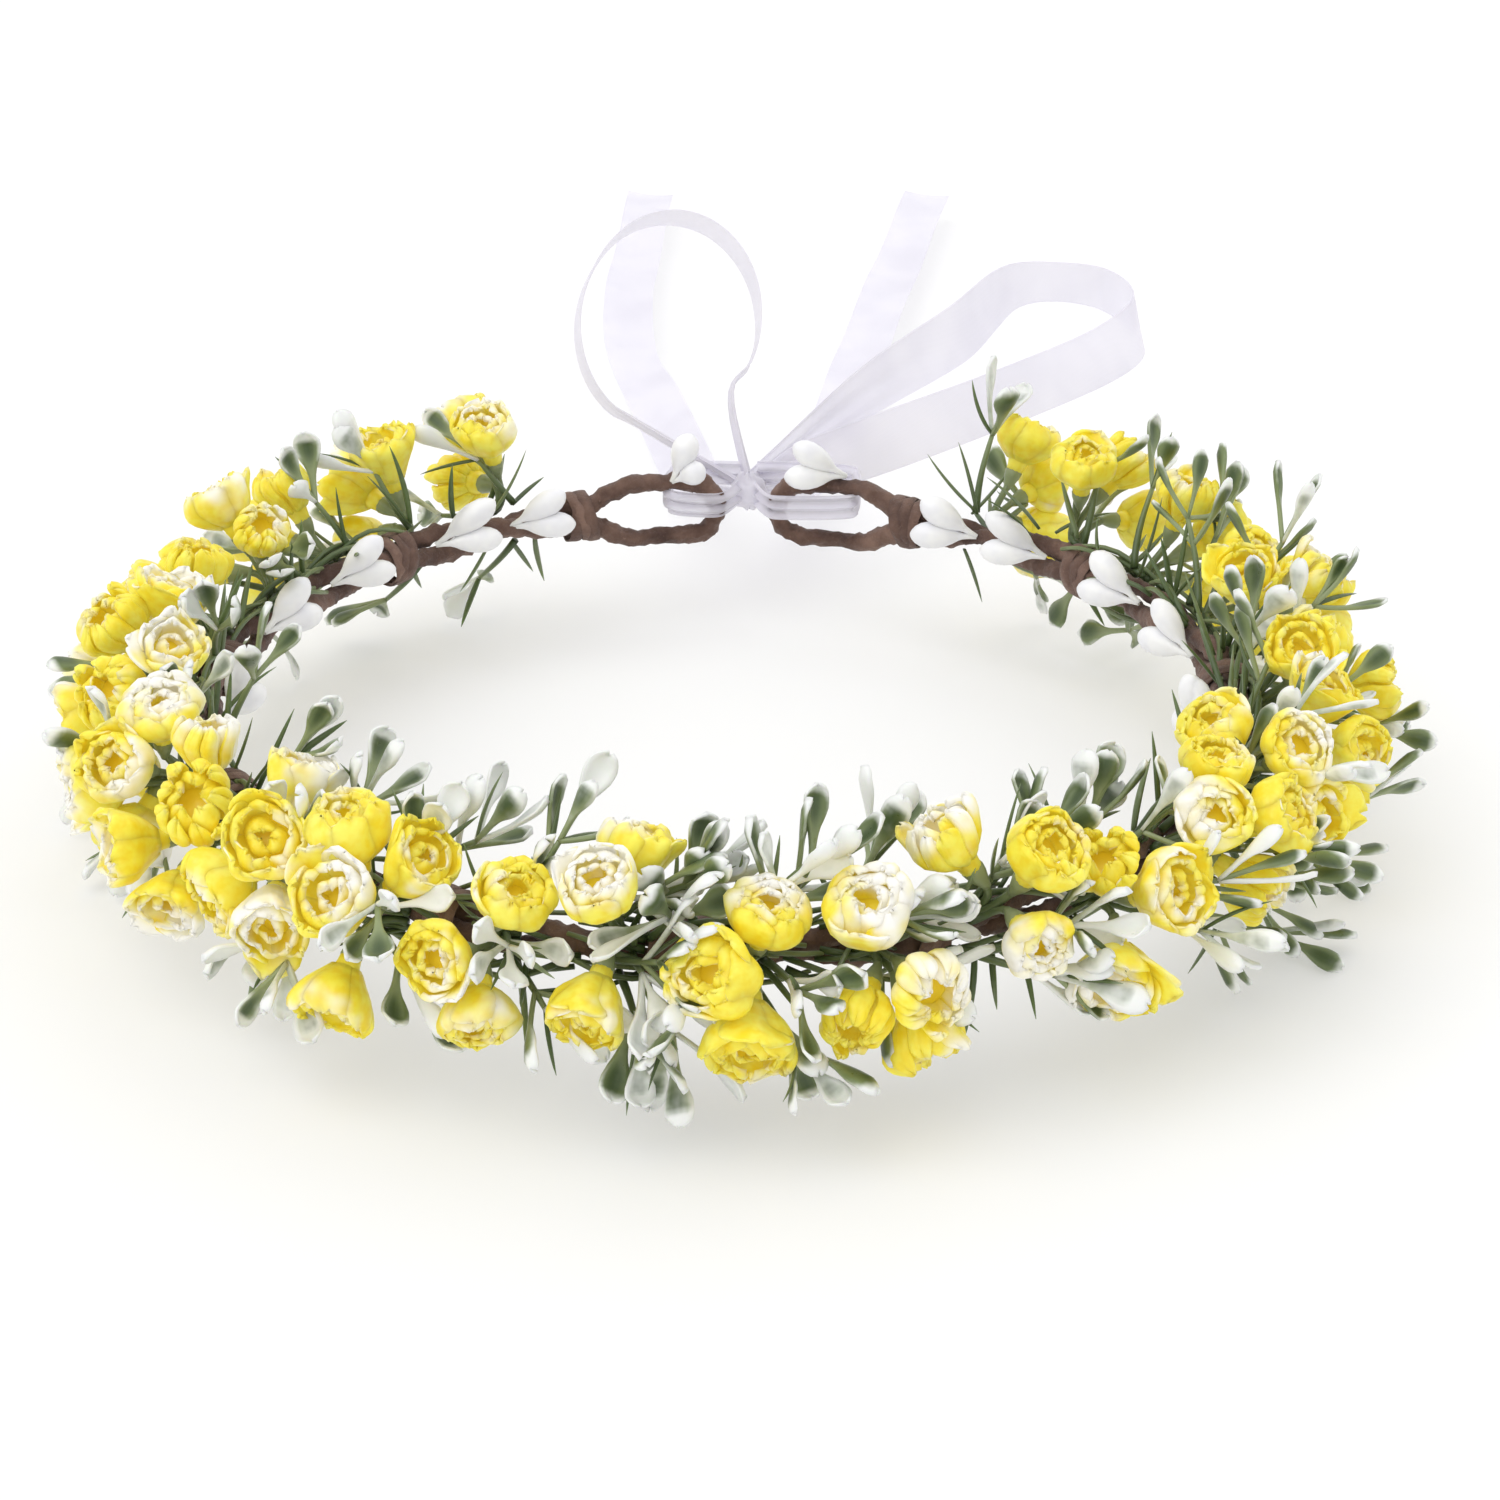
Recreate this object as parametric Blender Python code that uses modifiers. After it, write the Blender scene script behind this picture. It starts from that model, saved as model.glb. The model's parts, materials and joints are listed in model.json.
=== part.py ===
"""Flower crown: an open ring of twisted taped wire with floret sprigs, seed pips and a tied ribbon.

Metres, +Z up. The origin is on the flat inner face of the brow wrap, +Y runs to the back of the head.
A place on the ring is a turn: the angle in degrees from the brow, the same on the left and right halves.
A direction round the band is a roll: 0 points out of the ring, 90 up, 180 in.
"""

import math
import random

import bmesh
import bpy
from mathutils import Matrix, Vector

# Driving dimensions
RING_R = 0.090  # band centreline
STRAND_R = 0.0016  # one taped strand
SLEEVE_WALL = 0.0007  # paper tape round the wire
WIRE_R = 0.00055
GAP = 0.0003
TWIST_R = 0.0020  # strand centreline to band centreline
TWIST_PITCH = 36.0  # degrees of ring for one twist
TWIST_STEPS = 6
RIBBON_WIDTH = 0.012
RIBBON_THICK = 0.0004

# The band
HALF_START = 0.5  # each half starts this turn away from the brow
EYE_START = 160.0  # the strand opens into the eye here
EYE_END = 176.2
EYE_HALF_HEIGHT = 0.0056
EYE_FLARE = 5.0  # degrees over which the eye opens
EYE_ARC_STEPS = 6

# Tape wraps
WRAP_SIDES = 8
WRAP_WALL = 0.0008
WRAP_LENGTH = 0.004
WRAP_R = TWIST_R + STRAND_R + 0.0006 + WRAP_WALL
WRAP_TURNS = (24.0, 60.0, 96.0, 132.0, 158.5)
BROW_WRAP_LENGTH = 0.010
BROW_WRAP_R = 0.0053
BROW_FACE_R = RING_R - BROW_WRAP_R * math.cos(math.pi / WRAP_SIDES)
CENTRE = Vector((0, BROW_FACE_R, 0))

# Floret sprigs
SPRIG_PITCH = 12.0
SPRIG_COUNT = 13  # on each half
SPRIG_ROLLS = ((-38, 18, 76), (-14, 42, 98), (-40, 10, 60))  # directions of the heads, by turns
WIND_LEAN = 12  # the sprigs lean this way round the ring, all in one sense
FOOT_R = 0.0008
FOOT_LENGTH = 0.0055
FOOT_OUT = TWIST_R + STRAND_R + FOOT_R + GAP + 0.0002  # foot line to band centreline
HEAD_LENGTH = 0.0195
BELL_LENGTH = 0.0135  # tube and bloom, without the stem
HEAD_R = 0.0054
CLEARANCE = 0.0005  # between one floret or leaf and the next
TRIES = 200
LEAF_LENGTH = 0.0185
LEAF_HALF_WIDTH = 0.0027
LEAF_FLATNESS = 0.4

# Seed pips
PIP_STALK = 0.0022  # bare wire under a seed
PIP_LENGTH = 0.0095
PIP_R = 0.0028
PIP_FOOT_R = 0.0008
PIP_FOOT_HALF = 0.0016
PIP_FOOT_GAP = 0.0012  # foot line to the strand's surface
PIP_INWARD = 0.0006  # on an eye the foot sits this far towards the head
PIP_AIMS = ((118, 128, 46), (176, 184, 58))  # each seed's lowest and highest roll, and its lean to the back
PIP_TURNS = (80.0, 104.0, 120.0, 138.0, 149.0, 168.0)

# Ribbon
KNOT = CENTRE + Vector((0, 0.0955, 0.001))
KNOT_HALF = Vector((0.0030, 0.0026, 0.0034))
STRAP_HALF_HEIGHT = 0.0026
GATHER = 0.30  # share of the width at the knot
TAIL_DROP = -0.0195  # the tails lie this far below the knot


def clear_scene():
    for obj in list(bpy.data.objects):
        bpy.data.objects.remove(obj, do_unlink=True)


def new_collection(name):
    collection = bpy.data.collections.new(name)
    bpy.context.scene.collection.children.link(collection)
    return collection


def material(name, color, roughness, metallic=0.0):
    made = bpy.data.materials.new(name)
    made.use_nodes = True
    shader = made.node_tree.nodes["Principled BSDF"]
    shader.inputs["Base Color"].default_value = (*color, 1)
    shader.inputs["Roughness"].default_value = roughness
    shader.inputs["Metallic"].default_value = metallic
    made.diffuse_color = (*color, 1)
    return made


def add(name, mesh, finish, matrix=None, parent=None):
    obj = bpy.data.objects.new(name, mesh)
    if not mesh.materials:
        mesh.materials.append(finish)
    PARTS.objects.link(obj)
    if matrix is not None:
        obj.matrix_world = matrix
    if parent is not None:
        obj.parent = parent
        obj.matrix_parent_inverse = parent.matrix_basis.inverted()
    return obj


# Places on the ring


def band_point(side, turn):
    """The band's centreline at a turn; side is -1 for the left half and 1 for the right."""
    angle = math.radians(turn)
    return CENTRE + Vector((side * math.sin(angle), -math.cos(angle), 0)) * RING_R


def band_frame(side, turn):
    """Columns: along the band, outward, up. Right-handed, so 'along' is the same way round on both halves."""
    outward = (band_point(side, turn) - CENTRE).normalized()
    up = Vector((0, 0, 1))
    along = outward.cross(up)
    frame = Matrix((along, outward, up)).transposed().to_4x4()
    frame.translation = band_point(side, turn)
    return frame


def rolled(roll, lean=0.0):
    """A unit direction in the band frame."""
    angle = math.radians(roll)
    return Vector((math.tan(math.radians(lean)), math.cos(angle), math.sin(angle))).normalized()


# Shapes


def mesh_from(bm, name):
    bmesh.ops.recalc_face_normals(bm, faces=bm.faces)
    mesh = bpy.data.meshes.new(name)
    bm.to_mesh(mesh)
    bm.free()
    mesh.shade_smooth()
    mesh.set_sharp_from_angle(angle=math.radians(50))
    return mesh


def pointing(start, direction):
    """A matrix that takes +Z to a direction and the origin to a start."""
    turned_to = direction.to_track_quat("Z", "Y").to_matrix().to_4x4()
    turned_to.translation = start
    return turned_to


def turned(profile, sides, matrix, flatness=1.0):
    """A profile of (radius, height) pairs turned about Z, both ends on the axis."""
    bm = bmesh.new()
    points = [bm.verts.new((radius, 0, height)) for radius, height in profile]
    edges = [bm.edges.new(pair) for pair in zip(points, points[1:])]
    bmesh.ops.spin(
        bm, geom=points + edges, axis=(0, 0, 1), cent=(0, 0, 0), angle=math.tau, steps=sides, use_merge=True
    )
    bmesh.ops.remove_doubles(bm, verts=bm.verts, dist=1e-6)
    bmesh.ops.scale(bm, verts=bm.verts, vec=(1, flatness, 1))
    bmesh.ops.transform(bm, verts=bm.verts, matrix=matrix)
    return mesh_from(bm, "turned")


def rod(start, end, radius, sides=5):
    """A short straight stem with flat ends."""
    bm = bmesh.new()
    length = (end - start).length
    bmesh.ops.create_cone(bm, cap_ends=True, segments=sides, radius1=radius, radius2=radius, depth=length)
    bmesh.ops.transform(bm, verts=bm.verts, matrix=pointing((start + end) / 2, end - start))
    return mesh_from(bm, "rod")


def fused(name, meshes):
    """One solid mesh from overlapping ones."""
    helpers = []
    for mesh in meshes:
        helper = bpy.data.objects.new(name + "_piece", mesh)
        CUTTERS.objects.link(helper)
        helper.hide_render = True
        helper.display_type = "WIRE"
        helpers.append(helper)
    base = helpers[0]
    for other in helpers[1:]:
        union = base.modifiers.new("union", "BOOLEAN")
        union.operation = "UNION"
        union.object = other
    graph = bpy.context.evaluated_depsgraph_get()
    mesh = bpy.data.meshes.new_from_object(base.evaluated_get(graph))
    mesh.name = name
    for helper in helpers:
        bpy.data.objects.remove(helper, do_unlink=True)
    return mesh


def poly_curve(name, points, radius, capped, bevel_resolution=1):
    curve = bpy.data.curves.new(name, "CURVE")
    curve.dimensions = "3D"
    curve.bevel_depth = radius
    curve.bevel_resolution = bevel_resolution
    curve.use_fill_caps = capped
    spline = curve.splines.new("POLY")
    spline.points.add(len(points) - 1)
    for made, point in zip(spline.points, points):
        made.co = (*point, 1)
    return curve


def along_curve(controls, steps):
    """Points on a smooth curve through the controls, as vectors of any length."""
    ends = [2 * controls[0] - controls[1], *controls, 2 * controls[-1] - controls[-2]]
    found = []
    for a, b, c, d in zip(ends, ends[1:], ends[2:], ends[3:]):
        for step in range(steps):
            t = step / steps
            square = (2 * a - 5 * b + 4 * c - d) * t**2
            cube = (3 * b - a - 3 * c + d) * t**3
            found.append((2 * b + (c - a) * t + square + cube) / 2)
    return [*found, controls[-1]]


def ribbon_sheet(centres, across, widths, name):
    """A thin strip along the centres, with its width along the across vectors; its origin is at the knot."""
    bm = bmesh.new()
    rows = []
    for centre, direction, width in zip(centres, across, widths):
        half = direction.normalized() * width / 2
        rows.append([bm.verts.new(centre - half - KNOT), bm.verts.new(centre + half - KNOT)])
    for (a, b), (c, d) in zip(rows, rows[1:]):
        bm.faces.new((a, b, d, c))
    sheet = add(name, mesh_from(bm, name), RIBBON, Matrix.Translation(KNOT))
    solid = sheet.modifiers.new("thickness", "SOLIDIFY")
    solid.thickness = RIBBON_THICK
    solid.offset = 0
    return sheet


# The band


def strand_path(side):
    """From the brow along the ring, round the eye and back, the two runs twisted round each other."""
    steps = round((EYE_START - HALF_START) / (TWIST_PITCH / TWIST_STEPS))
    turns = [HALF_START + (EYE_START - HALF_START) * step / steps for step in range(steps)]

    def twist(turn, phase):
        angle = math.radians((turn - EYE_START) / TWIST_PITCH * 360 + phase)
        offset = Vector((0, math.cos(angle), math.sin(angle))) * TWIST_R
        return band_frame(side, turn) @ offset

    def eye(turn, height):
        return band_point(side, turn) + Vector((0, 0, height))

    arc_degrees = math.degrees(EYE_HALF_HEIGHT / RING_R)
    arc_start = EYE_END - arc_degrees
    opening = [
        (EYE_START, TWIST_R),
        (EYE_START + EYE_FLARE / 2, (TWIST_R + EYE_HALF_HEIGHT) / 2),
        (EYE_START + EYE_FLARE, EYE_HALF_HEIGHT),
    ]
    top = [eye(turn, height) for turn, height in opening]
    arc = []
    for step in range(EYE_ARC_STEPS + 1):
        angle = math.pi / 2 - math.pi * step / EYE_ARC_STEPS
        arc.append(eye(arc_start + arc_degrees * math.cos(angle), EYE_HALF_HEIGHT * math.sin(angle)))
    bottom = [eye(turn, -height) for turn, height in reversed(opening)]
    out = [twist(turn, 90) for turn in turns]
    back = [twist(turn, 270) for turn in reversed(turns)]
    return [*out, *top, *arc, *bottom, *back]


def flex_axis():
    """The upright line in the band at the brow that the right half turns on when the crown opens."""
    axis = bpy.data.objects.new("band_flex_axis", None)
    axis.location = band_point(1, 0)
    PARTS.objects.link(axis)
    return axis


def band_half(side, name, parent):
    path = strand_path(side)
    wire = poly_curve("wire_core_" + name, path, WIRE_R, capped=True, bevel_resolution=0)
    add("wire_core_" + name, wire, STEEL, parent=parent)
    tape = poly_curve("vine_" + name, path, STRAND_R, capped=False)
    sleeve = add("vine_" + name, tape, BROWN_TAPE, parent=parent)
    wall = sleeve.modifiers.new("tape", "SOLIDIFY")
    wall.thickness = SLEEVE_WALL
    wall.offset = -1


def wrap(name, frame, radius, length, parent):
    """Some turns of tape: a short tube round the band, one flat side facing in."""
    bm = bmesh.new()
    bmesh.ops.create_cone(
        bm, cap_ends=False, segments=WRAP_SIDES, radius1=radius, radius2=radius, depth=length
    )
    facing = Matrix.Rotation(math.pi / WRAP_SIDES, 4, "Z")
    along_band = Matrix.Rotation(math.pi / 2, 4, "Y")
    bmesh.ops.transform(bm, verts=bm.verts, matrix=along_band @ facing)
    obj = add(name, mesh_from(bm, name), BROWN_TAPE, frame, parent)
    wall = obj.modifiers.new("tape", "SOLIDIFY")
    wall.thickness = WRAP_WALL
    wall.offset = -1


# Sprigs and pips


def floret(start, direction, stretch):
    """Stem, calyx, tube and cupped bloom in one turned solid."""
    stem = HEAD_LENGTH * stretch - BELL_LENGTH
    profile = [
        (0, 0),
        (FOOT_R, 0.0002),
        (FOOT_R, stem),
        (0.0027, stem + 0.0048),
        (HEAD_R, stem + 0.0092),
        (HEAD_R * 0.86, stem + BELL_LENGTH),
        (0, stem + 0.0125),
    ]
    return turned(profile, 6, pointing(start, direction))


def leaf(start, direction, spin):
    """A spoon leaf on its stalk."""
    profile = [
        (0, 0),
        (0.00055, 0.0003),
        (0.0006, LEAF_LENGTH * 0.5),
        (LEAF_HALF_WIDTH, LEAF_LENGTH * 0.76),
        (0, LEAF_LENGTH),
    ]
    return turned(profile, 4, pointing(start, direction) @ Matrix.Rotation(spin, 4, "Z"), LEAF_FLATNESS)


def head_room(stem):
    """(distance, radius) of the balls that fill a floret, along its axis."""
    along_bell = ((0.0024, 0.0018), (0.0060, 0.0037), (0.0092, 0.0055), (0.0122, 0.0050))
    return tuple((stem + distance, radius) for distance, radius in along_bell)


LEAF_BALLS = ((0.5, 0.0010), (0.66, 0.0021), (0.76, 0.0030), (0.9, 0.0016))  # share of the length, radius
LEAF_ROOM = tuple((LEAF_LENGTH * share, radius) for share, radius in LEAF_BALLS)


def take_room(taken, frame, start, direction, room, sprig_name):
    """Keeps the room if nothing else is in it. Stems of one sprig may meet near its hub."""
    balls = [(frame @ (start + direction * distance), radius) for distance, radius in room]
    for index, (centre, radius) in enumerate(balls):
        for other, other_radius, other_name, other_index in taken:
            if other_name == sprig_name and min(index, other_index) == 0:
                continue
            if (centre - other).length < radius + other_radius + CLEARANCE:
                return False
    taken.extend((centre, radius, sprig_name, index) for index, (centre, radius) in enumerate(balls))
    return True


def sprig_aims(number, rolls, lean_back, dense, rng):
    """(roll, lean) tries for each head and leaf of a sprig, most regular last."""
    steady = number > SPRIG_COUNT - 3
    heads = []
    for roll in rolls:
        if steady:
            jittered = (roll + rng.uniform(-2, 2), lean_back + rng.uniform(-4, 4), rng.uniform(0.9, 1.04))
            heads.append([jittered] + [(roll - step, lean_back, 1.0) for step in (0, 6, 12)])
            continue
        tries = [
            (roll + rng.uniform(-18, 18), lean_back + rng.uniform(-26, 26), rng.uniform(0.82, 1.06))
            for _ in range(TRIES)
        ]
        heads.append(tries + [(roll, lean_back, 0.95)])
    if dense and not steady:
        spare = [
            (rng.uniform(-62, 100), lean_back + rng.uniform(-30, 30), rng.uniform(0.82, 1.06))
            for _ in range(TRIES)
        ]
        heads.append(spare)
    leaves = []
    for roll, lean in (((rolls[0] + rolls[1]) / 2, 17), ((rolls[2] + rolls[1]) / 2, -17)):
        tries = [(roll, lean + rng.uniform(-3, 3))]
        if not steady:
            tries += [(roll + rng.uniform(-30, 30), lean + rng.uniform(-40, 40)) for _ in range(TRIES)]
        leaves.append(tries)
    return heads, leaves


def sprig(side, name, number, parent, rng, taken):
    """A moulded sprig: its foot lies along the band, its heads and leaves fan out across the band."""
    turn = SPRIG_PITCH * (number - 0.5)
    rolls = SPRIG_ROLLS[(number + (side > 0)) % len(SPRIG_ROLLS)]
    middle = rolls[1]
    foot = rolled(middle) * FOOT_OUT
    frame = band_frame(side, turn) @ Matrix.Translation(foot)
    hub = rolled(middle) * 0.0035
    label = f"sprig_{name}_{number:02d}"
    pieces = [
        rod(Vector((-FOOT_LENGTH / 2, 0, 0)), Vector((FOOT_LENGTH / 2, 0, 0)), FOOT_R),
        rod(Vector((0, 0, 0)), hub + rolled(middle) * 0.0006, FOOT_R * 1.1),
    ]
    dense = (2 <= number <= 9) if side < 0 else number in (2, 5, 8)
    heads, leaves = sprig_aims(number, rolls, side * WIND_LEAN, dense, rng)
    for tries in heads:
        for roll, lean, stretch in tries:
            room = head_room(HEAD_LENGTH * stretch - BELL_LENGTH)
            if take_room(taken, frame, hub, rolled(roll, lean), room, label):
                pieces.append(floret(hub, rolled(roll, lean), stretch))
                break
    for tries in leaves:
        for roll, lean in tries:
            if take_room(taken, frame, hub, rolled(roll, lean), LEAF_ROOM, label):
                pieces.append(leaf(hub, rolled(roll, lean), rng.uniform(0, math.pi)))
                break
    add(label, fused(label, pieces), FLORET, frame, parent)


def pip_pair(side, name, number, turn, parent, rng, taken):
    """Two seeds on short wires from one foot beside the band. Both lean towards the back."""
    on_eye = turn > EYE_START
    roll = 155 if on_eye else rng.uniform(150, 165)
    out = (EYE_HALF_HEIGHT if on_eye else TWIST_R) + STRAND_R + PIP_FOOT_GAP
    foot = Vector((0, -PIP_INWARD, out)) if on_eye else rolled(roll) * out
    frame = band_frame(side, turn) @ Matrix.Translation(foot)
    profile = [
        (0, 0),
        (0.0006, 0.0002),
        (0.0006, PIP_STALK),
        (PIP_R * 0.8, 0.0048),
        (PIP_R, 0.0082),
        (PIP_R * 0.6, 0.0110),
        (0, PIP_STALK + PIP_LENGTH),
    ]
    label = f"pips_{name}_{number}"
    foot_end = Vector((PIP_FOOT_HALF, 0, 0))
    pieces = [rod(-foot_end, foot_end, PIP_FOOT_R)]
    seed_rolls = [rng.uniform(low, high) for low, high, _ in PIP_AIMS]
    for seed_roll, (_, _, lean) in zip(seed_rolls, PIP_AIMS):
        direction = rolled(seed_roll, -side * lean)
        pieces.append(turned(profile, 6, pointing(Vector((0, 0, 0)), direction)))
        room = ((0.0050, PIP_R * 0.8), (0.0082, PIP_R * 1.1), (0.0105, PIP_R * 0.8))
        take_room(taken, frame, Vector((0, 0, 0)), direction, room, label)
    add(label, fused(label, pieces), WHITE_PIP, frame, parent)


# The ribbon


def gathered(count, both_ends=False):
    """Widths along a strip that is bunched where it leaves the knot."""
    widths = []
    for index in range(count):
        share = index / (count - 1)
        from_end = min(share, 1 - share) if both_ends else share
        widths.append(RIBBON_WIDTH * min(1.0, GATHER + (1 - GATHER) * from_end / 0.16))
    return widths


def knot():
    bm = bmesh.new()
    bmesh.ops.create_uvsphere(bm, u_segments=10, v_segments=7, radius=1)
    bmesh.ops.scale(bm, verts=bm.verts, vec=KNOT_HALF)
    add("ribbon_knot", mesh_from(bm, "ribbon_knot"), RIBBON, Matrix.Translation(KNOT))


def strap(side, name, reach):
    """A link of ribbon from the knot through the eye and back: reach is how far it runs past the knot."""
    inside = KNOT.y - 0.0110
    behind = KNOT.y + 0.0020
    turn_r = 0.0016
    start_x = side * (KNOT_HALF.x + GAP * 2)
    end_x = side * reach
    plan = [
        (start_x, KNOT.y - 0.0016),
        (start_x + side * 0.0012, inside + turn_r),
        (start_x + side * 0.0030, inside),
        (end_x - side * turn_r, inside),
        (end_x, inside + turn_r),
        (end_x, behind - turn_r),
        (end_x - side * turn_r, behind),
        (start_x, behind),
    ]
    centres = [Vector((x, y, KNOT.z)) for x, y in plan]
    across = [Vector((0, 0, 1))] * len(centres)
    widths = [2 * STRAP_HALF_HEIGHT] * len(centres)
    ribbon_sheet(centres, across, widths, "ribbon_strap_" + name)


def tail(name, controls, across_start):
    """A tail that leaves the knot tipped to one side and lies flat after its first third."""
    centres = along_curve([KNOT + Vector(point) for point in controls], 4)
    shares = [max(0.0, 1 - 3 * index / len(centres)) for index in range(len(centres))]
    flat = [Vector((1, 0, 0)).lerp(across_start, share) for share in shares]
    ribbon_sheet(centres, flat, gathered(len(centres)), "ribbon_tail_" + name)


def left_bow_loop():
    """A hoop that stands over the knot and leans back."""
    lean = math.radians(28)
    rise = Vector((0, math.sin(lean), math.cos(lean)))
    middle_x, middle_up = -0.0170, 0.0330
    half_x, half_up = 0.0180, 0.0215
    centres = [KNOT + Vector((-0.0035, 0.0004, 0)) + rise * 0.0040]
    for step in range(19):
        angle = math.radians(250 - 290 * step / 18)
        sideways = middle_x + half_x * math.cos(angle)
        centres.append(KNOT + Vector((sideways, 0, 0)) + rise * (middle_up + half_up * math.sin(angle)))
    centres.append(KNOT + Vector((0.0004, 0.0004, 0)) + rise * 0.0065)
    across = [Vector((0.25, -math.cos(lean), math.sin(lean)))] * len(centres)
    widths = gathered(len(centres), both_ends=True)
    ribbon_sheet(centres, across, widths, "bow_loop_left")


def right_bow_loop():
    """A long loop that runs out behind the band and folds back over itself."""
    controls = [
        (0.0048, 0.0040, 0.0010),
        (0.0220, 0.0180, 0.0020),
        (0.0500, 0.0460, 0.0030),
        (0.0740, 0.0740, 0.0040),
        (0.0810, 0.0880, 0.0070),
        (0.0720, 0.0990, 0.0105),
        (0.0540, 0.0910, 0.0125),
        (0.0405, 0.0600, 0.0120),
        (0.0220, 0.0300, 0.0105),
        (0.0032, 0.0052, 0.0066),
    ]
    centres = along_curve([KNOT + Vector(point) for point in controls], 3)
    across = [Vector((-0.35, 0.45, 0.85))] * len(centres)
    widths = gathered(len(centres), both_ends=True)
    ribbon_sheet(centres, across, widths, "bow_loop_right")


def ribbon():
    knot()
    strap(-1, "left", 0.0160)
    strap(1, "right", 0.0212)
    left_path = [
        (-0.0030, 0.0050, -0.0045),
        (-0.0100, 0.0240, TAIL_DROP * 0.6),
        (-0.0150, 0.0520, TAIL_DROP),
        (-0.0250, 0.0950, TAIL_DROP),
        (-0.0380, 0.1560, TAIL_DROP),
        (-0.0400, 0.2600, TAIL_DROP),
    ]
    right_path = [
        (0.0030, 0.0050, -0.0045),
        (0.0060, 0.0240, TAIL_DROP * 0.6),
        (0.0110, 0.0600, TAIL_DROP),
        (0.0200, 0.1400, TAIL_DROP),
        (0.0340, 0.2640, TAIL_DROP),
    ]
    tail("left", left_path, Vector((1, 0, -0.4)))
    tail("right", right_path, Vector((1, 0, 0.4)))
    left_bow_loop()
    right_bow_loop()


def crown():
    rng = random.Random(7)
    taken = []
    for side, name, parent in ((-1, "left", None), (1, "right", flex_axis())):
        band_half(side, name, parent)
        for number, turn in enumerate(WRAP_TURNS, 1):
            wrap(f"wrap_{name}_{number}", band_frame(side, turn), WRAP_R, WRAP_LENGTH, parent)
        for number, turn in enumerate(PIP_TURNS, 1):
            pip_pair(side, name, number, turn, parent, rng, taken)
        for number in range(SPRIG_COUNT, 0, -1):
            sprig(side, name, number, parent, rng, taken)
    wrap("brow_wrap", band_frame(1, 0), BROW_WRAP_R, BROW_WRAP_LENGTH, None)
    ribbon()


clear_scene()
PARTS = new_collection("flower_crown")
CUTTERS = new_collection("cutters")
STEEL = material("steel_wire", (0.45, 0.45, 0.46), 0.4, 1.0)
BROWN_TAPE = material("brown_paper_tape", (0.17, 0.085, 0.055), 0.8)
FLORET = material("floret_plastic", (0.80, 0.66, 0.05), 0.45)
WHITE_PIP = material("pip_white", (0.86, 0.86, 0.88), 0.35)
RIBBON = material("ribbon_organza", (0.88, 0.87, 0.93), 0.6)
crown()
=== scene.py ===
"""Looks of the flower crown: florets, leaves, seed pips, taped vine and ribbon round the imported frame.

Metres, +Z up, in the frame's own axes. A turn is the angle in degrees from the brow round to the back, the
same on both halves; a roll is the direction round the band: 0 out of the ring, 90 up, 180 in.
"""

import json
import math
import random

import bpy
import numpy as np
from mathutils import Matrix, Vector, noise


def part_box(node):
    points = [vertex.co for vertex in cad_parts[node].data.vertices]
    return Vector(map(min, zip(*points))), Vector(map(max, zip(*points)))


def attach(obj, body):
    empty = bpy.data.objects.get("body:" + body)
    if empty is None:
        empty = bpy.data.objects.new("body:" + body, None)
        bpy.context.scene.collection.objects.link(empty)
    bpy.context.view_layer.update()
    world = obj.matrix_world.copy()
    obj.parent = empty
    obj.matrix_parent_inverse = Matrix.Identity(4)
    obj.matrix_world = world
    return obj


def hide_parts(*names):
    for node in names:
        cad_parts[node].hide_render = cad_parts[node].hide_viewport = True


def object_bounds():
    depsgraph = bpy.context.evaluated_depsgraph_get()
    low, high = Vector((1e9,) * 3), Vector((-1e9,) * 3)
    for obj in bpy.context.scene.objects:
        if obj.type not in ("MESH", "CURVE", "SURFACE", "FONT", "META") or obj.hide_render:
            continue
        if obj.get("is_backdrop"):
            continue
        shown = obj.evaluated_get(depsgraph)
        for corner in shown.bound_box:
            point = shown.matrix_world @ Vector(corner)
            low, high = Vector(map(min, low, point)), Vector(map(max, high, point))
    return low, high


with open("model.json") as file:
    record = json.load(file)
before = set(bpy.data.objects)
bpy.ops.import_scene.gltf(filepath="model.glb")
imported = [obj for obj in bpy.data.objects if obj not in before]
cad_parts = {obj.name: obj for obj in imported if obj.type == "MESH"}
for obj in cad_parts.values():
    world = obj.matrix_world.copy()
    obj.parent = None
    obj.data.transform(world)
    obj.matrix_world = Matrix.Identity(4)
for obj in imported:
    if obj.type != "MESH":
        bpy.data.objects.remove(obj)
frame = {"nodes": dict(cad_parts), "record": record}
CAD_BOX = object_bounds()

# Places taken from the frame
BEHAVIOUR = frame["record"]["behaviour"]
JOINT_AT = {joint["name"]: Vector(joint["pos_m"]) for joint in BEHAVIOUR["joints"]}
BODY_OF = {node: body for body, nodes in BEHAVIOUR["bodies"].items() for node in nodes}
BAND_HALF = 0.0036  # the two twisted strands reach this far from the band's centreline
RING_R = Vector(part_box("vine_right")[1]).x - BAND_HALF
CENTRE = JOINT_AT["band_flex"] + Vector((0, RING_R, 0))
KNOT = JOINT_AT["loop_left_tilt"]
TAIL_HALF = 0.0002  # half the thickness of a plain tail
TAIL_LEVEL = (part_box("ribbon_tail_left")[0][2] + TAIL_HALF) - KNOT.z
BOX_LOW, BOX_HIGH = (np.array(corner, float) for corner in CAD_BOX)

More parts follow.
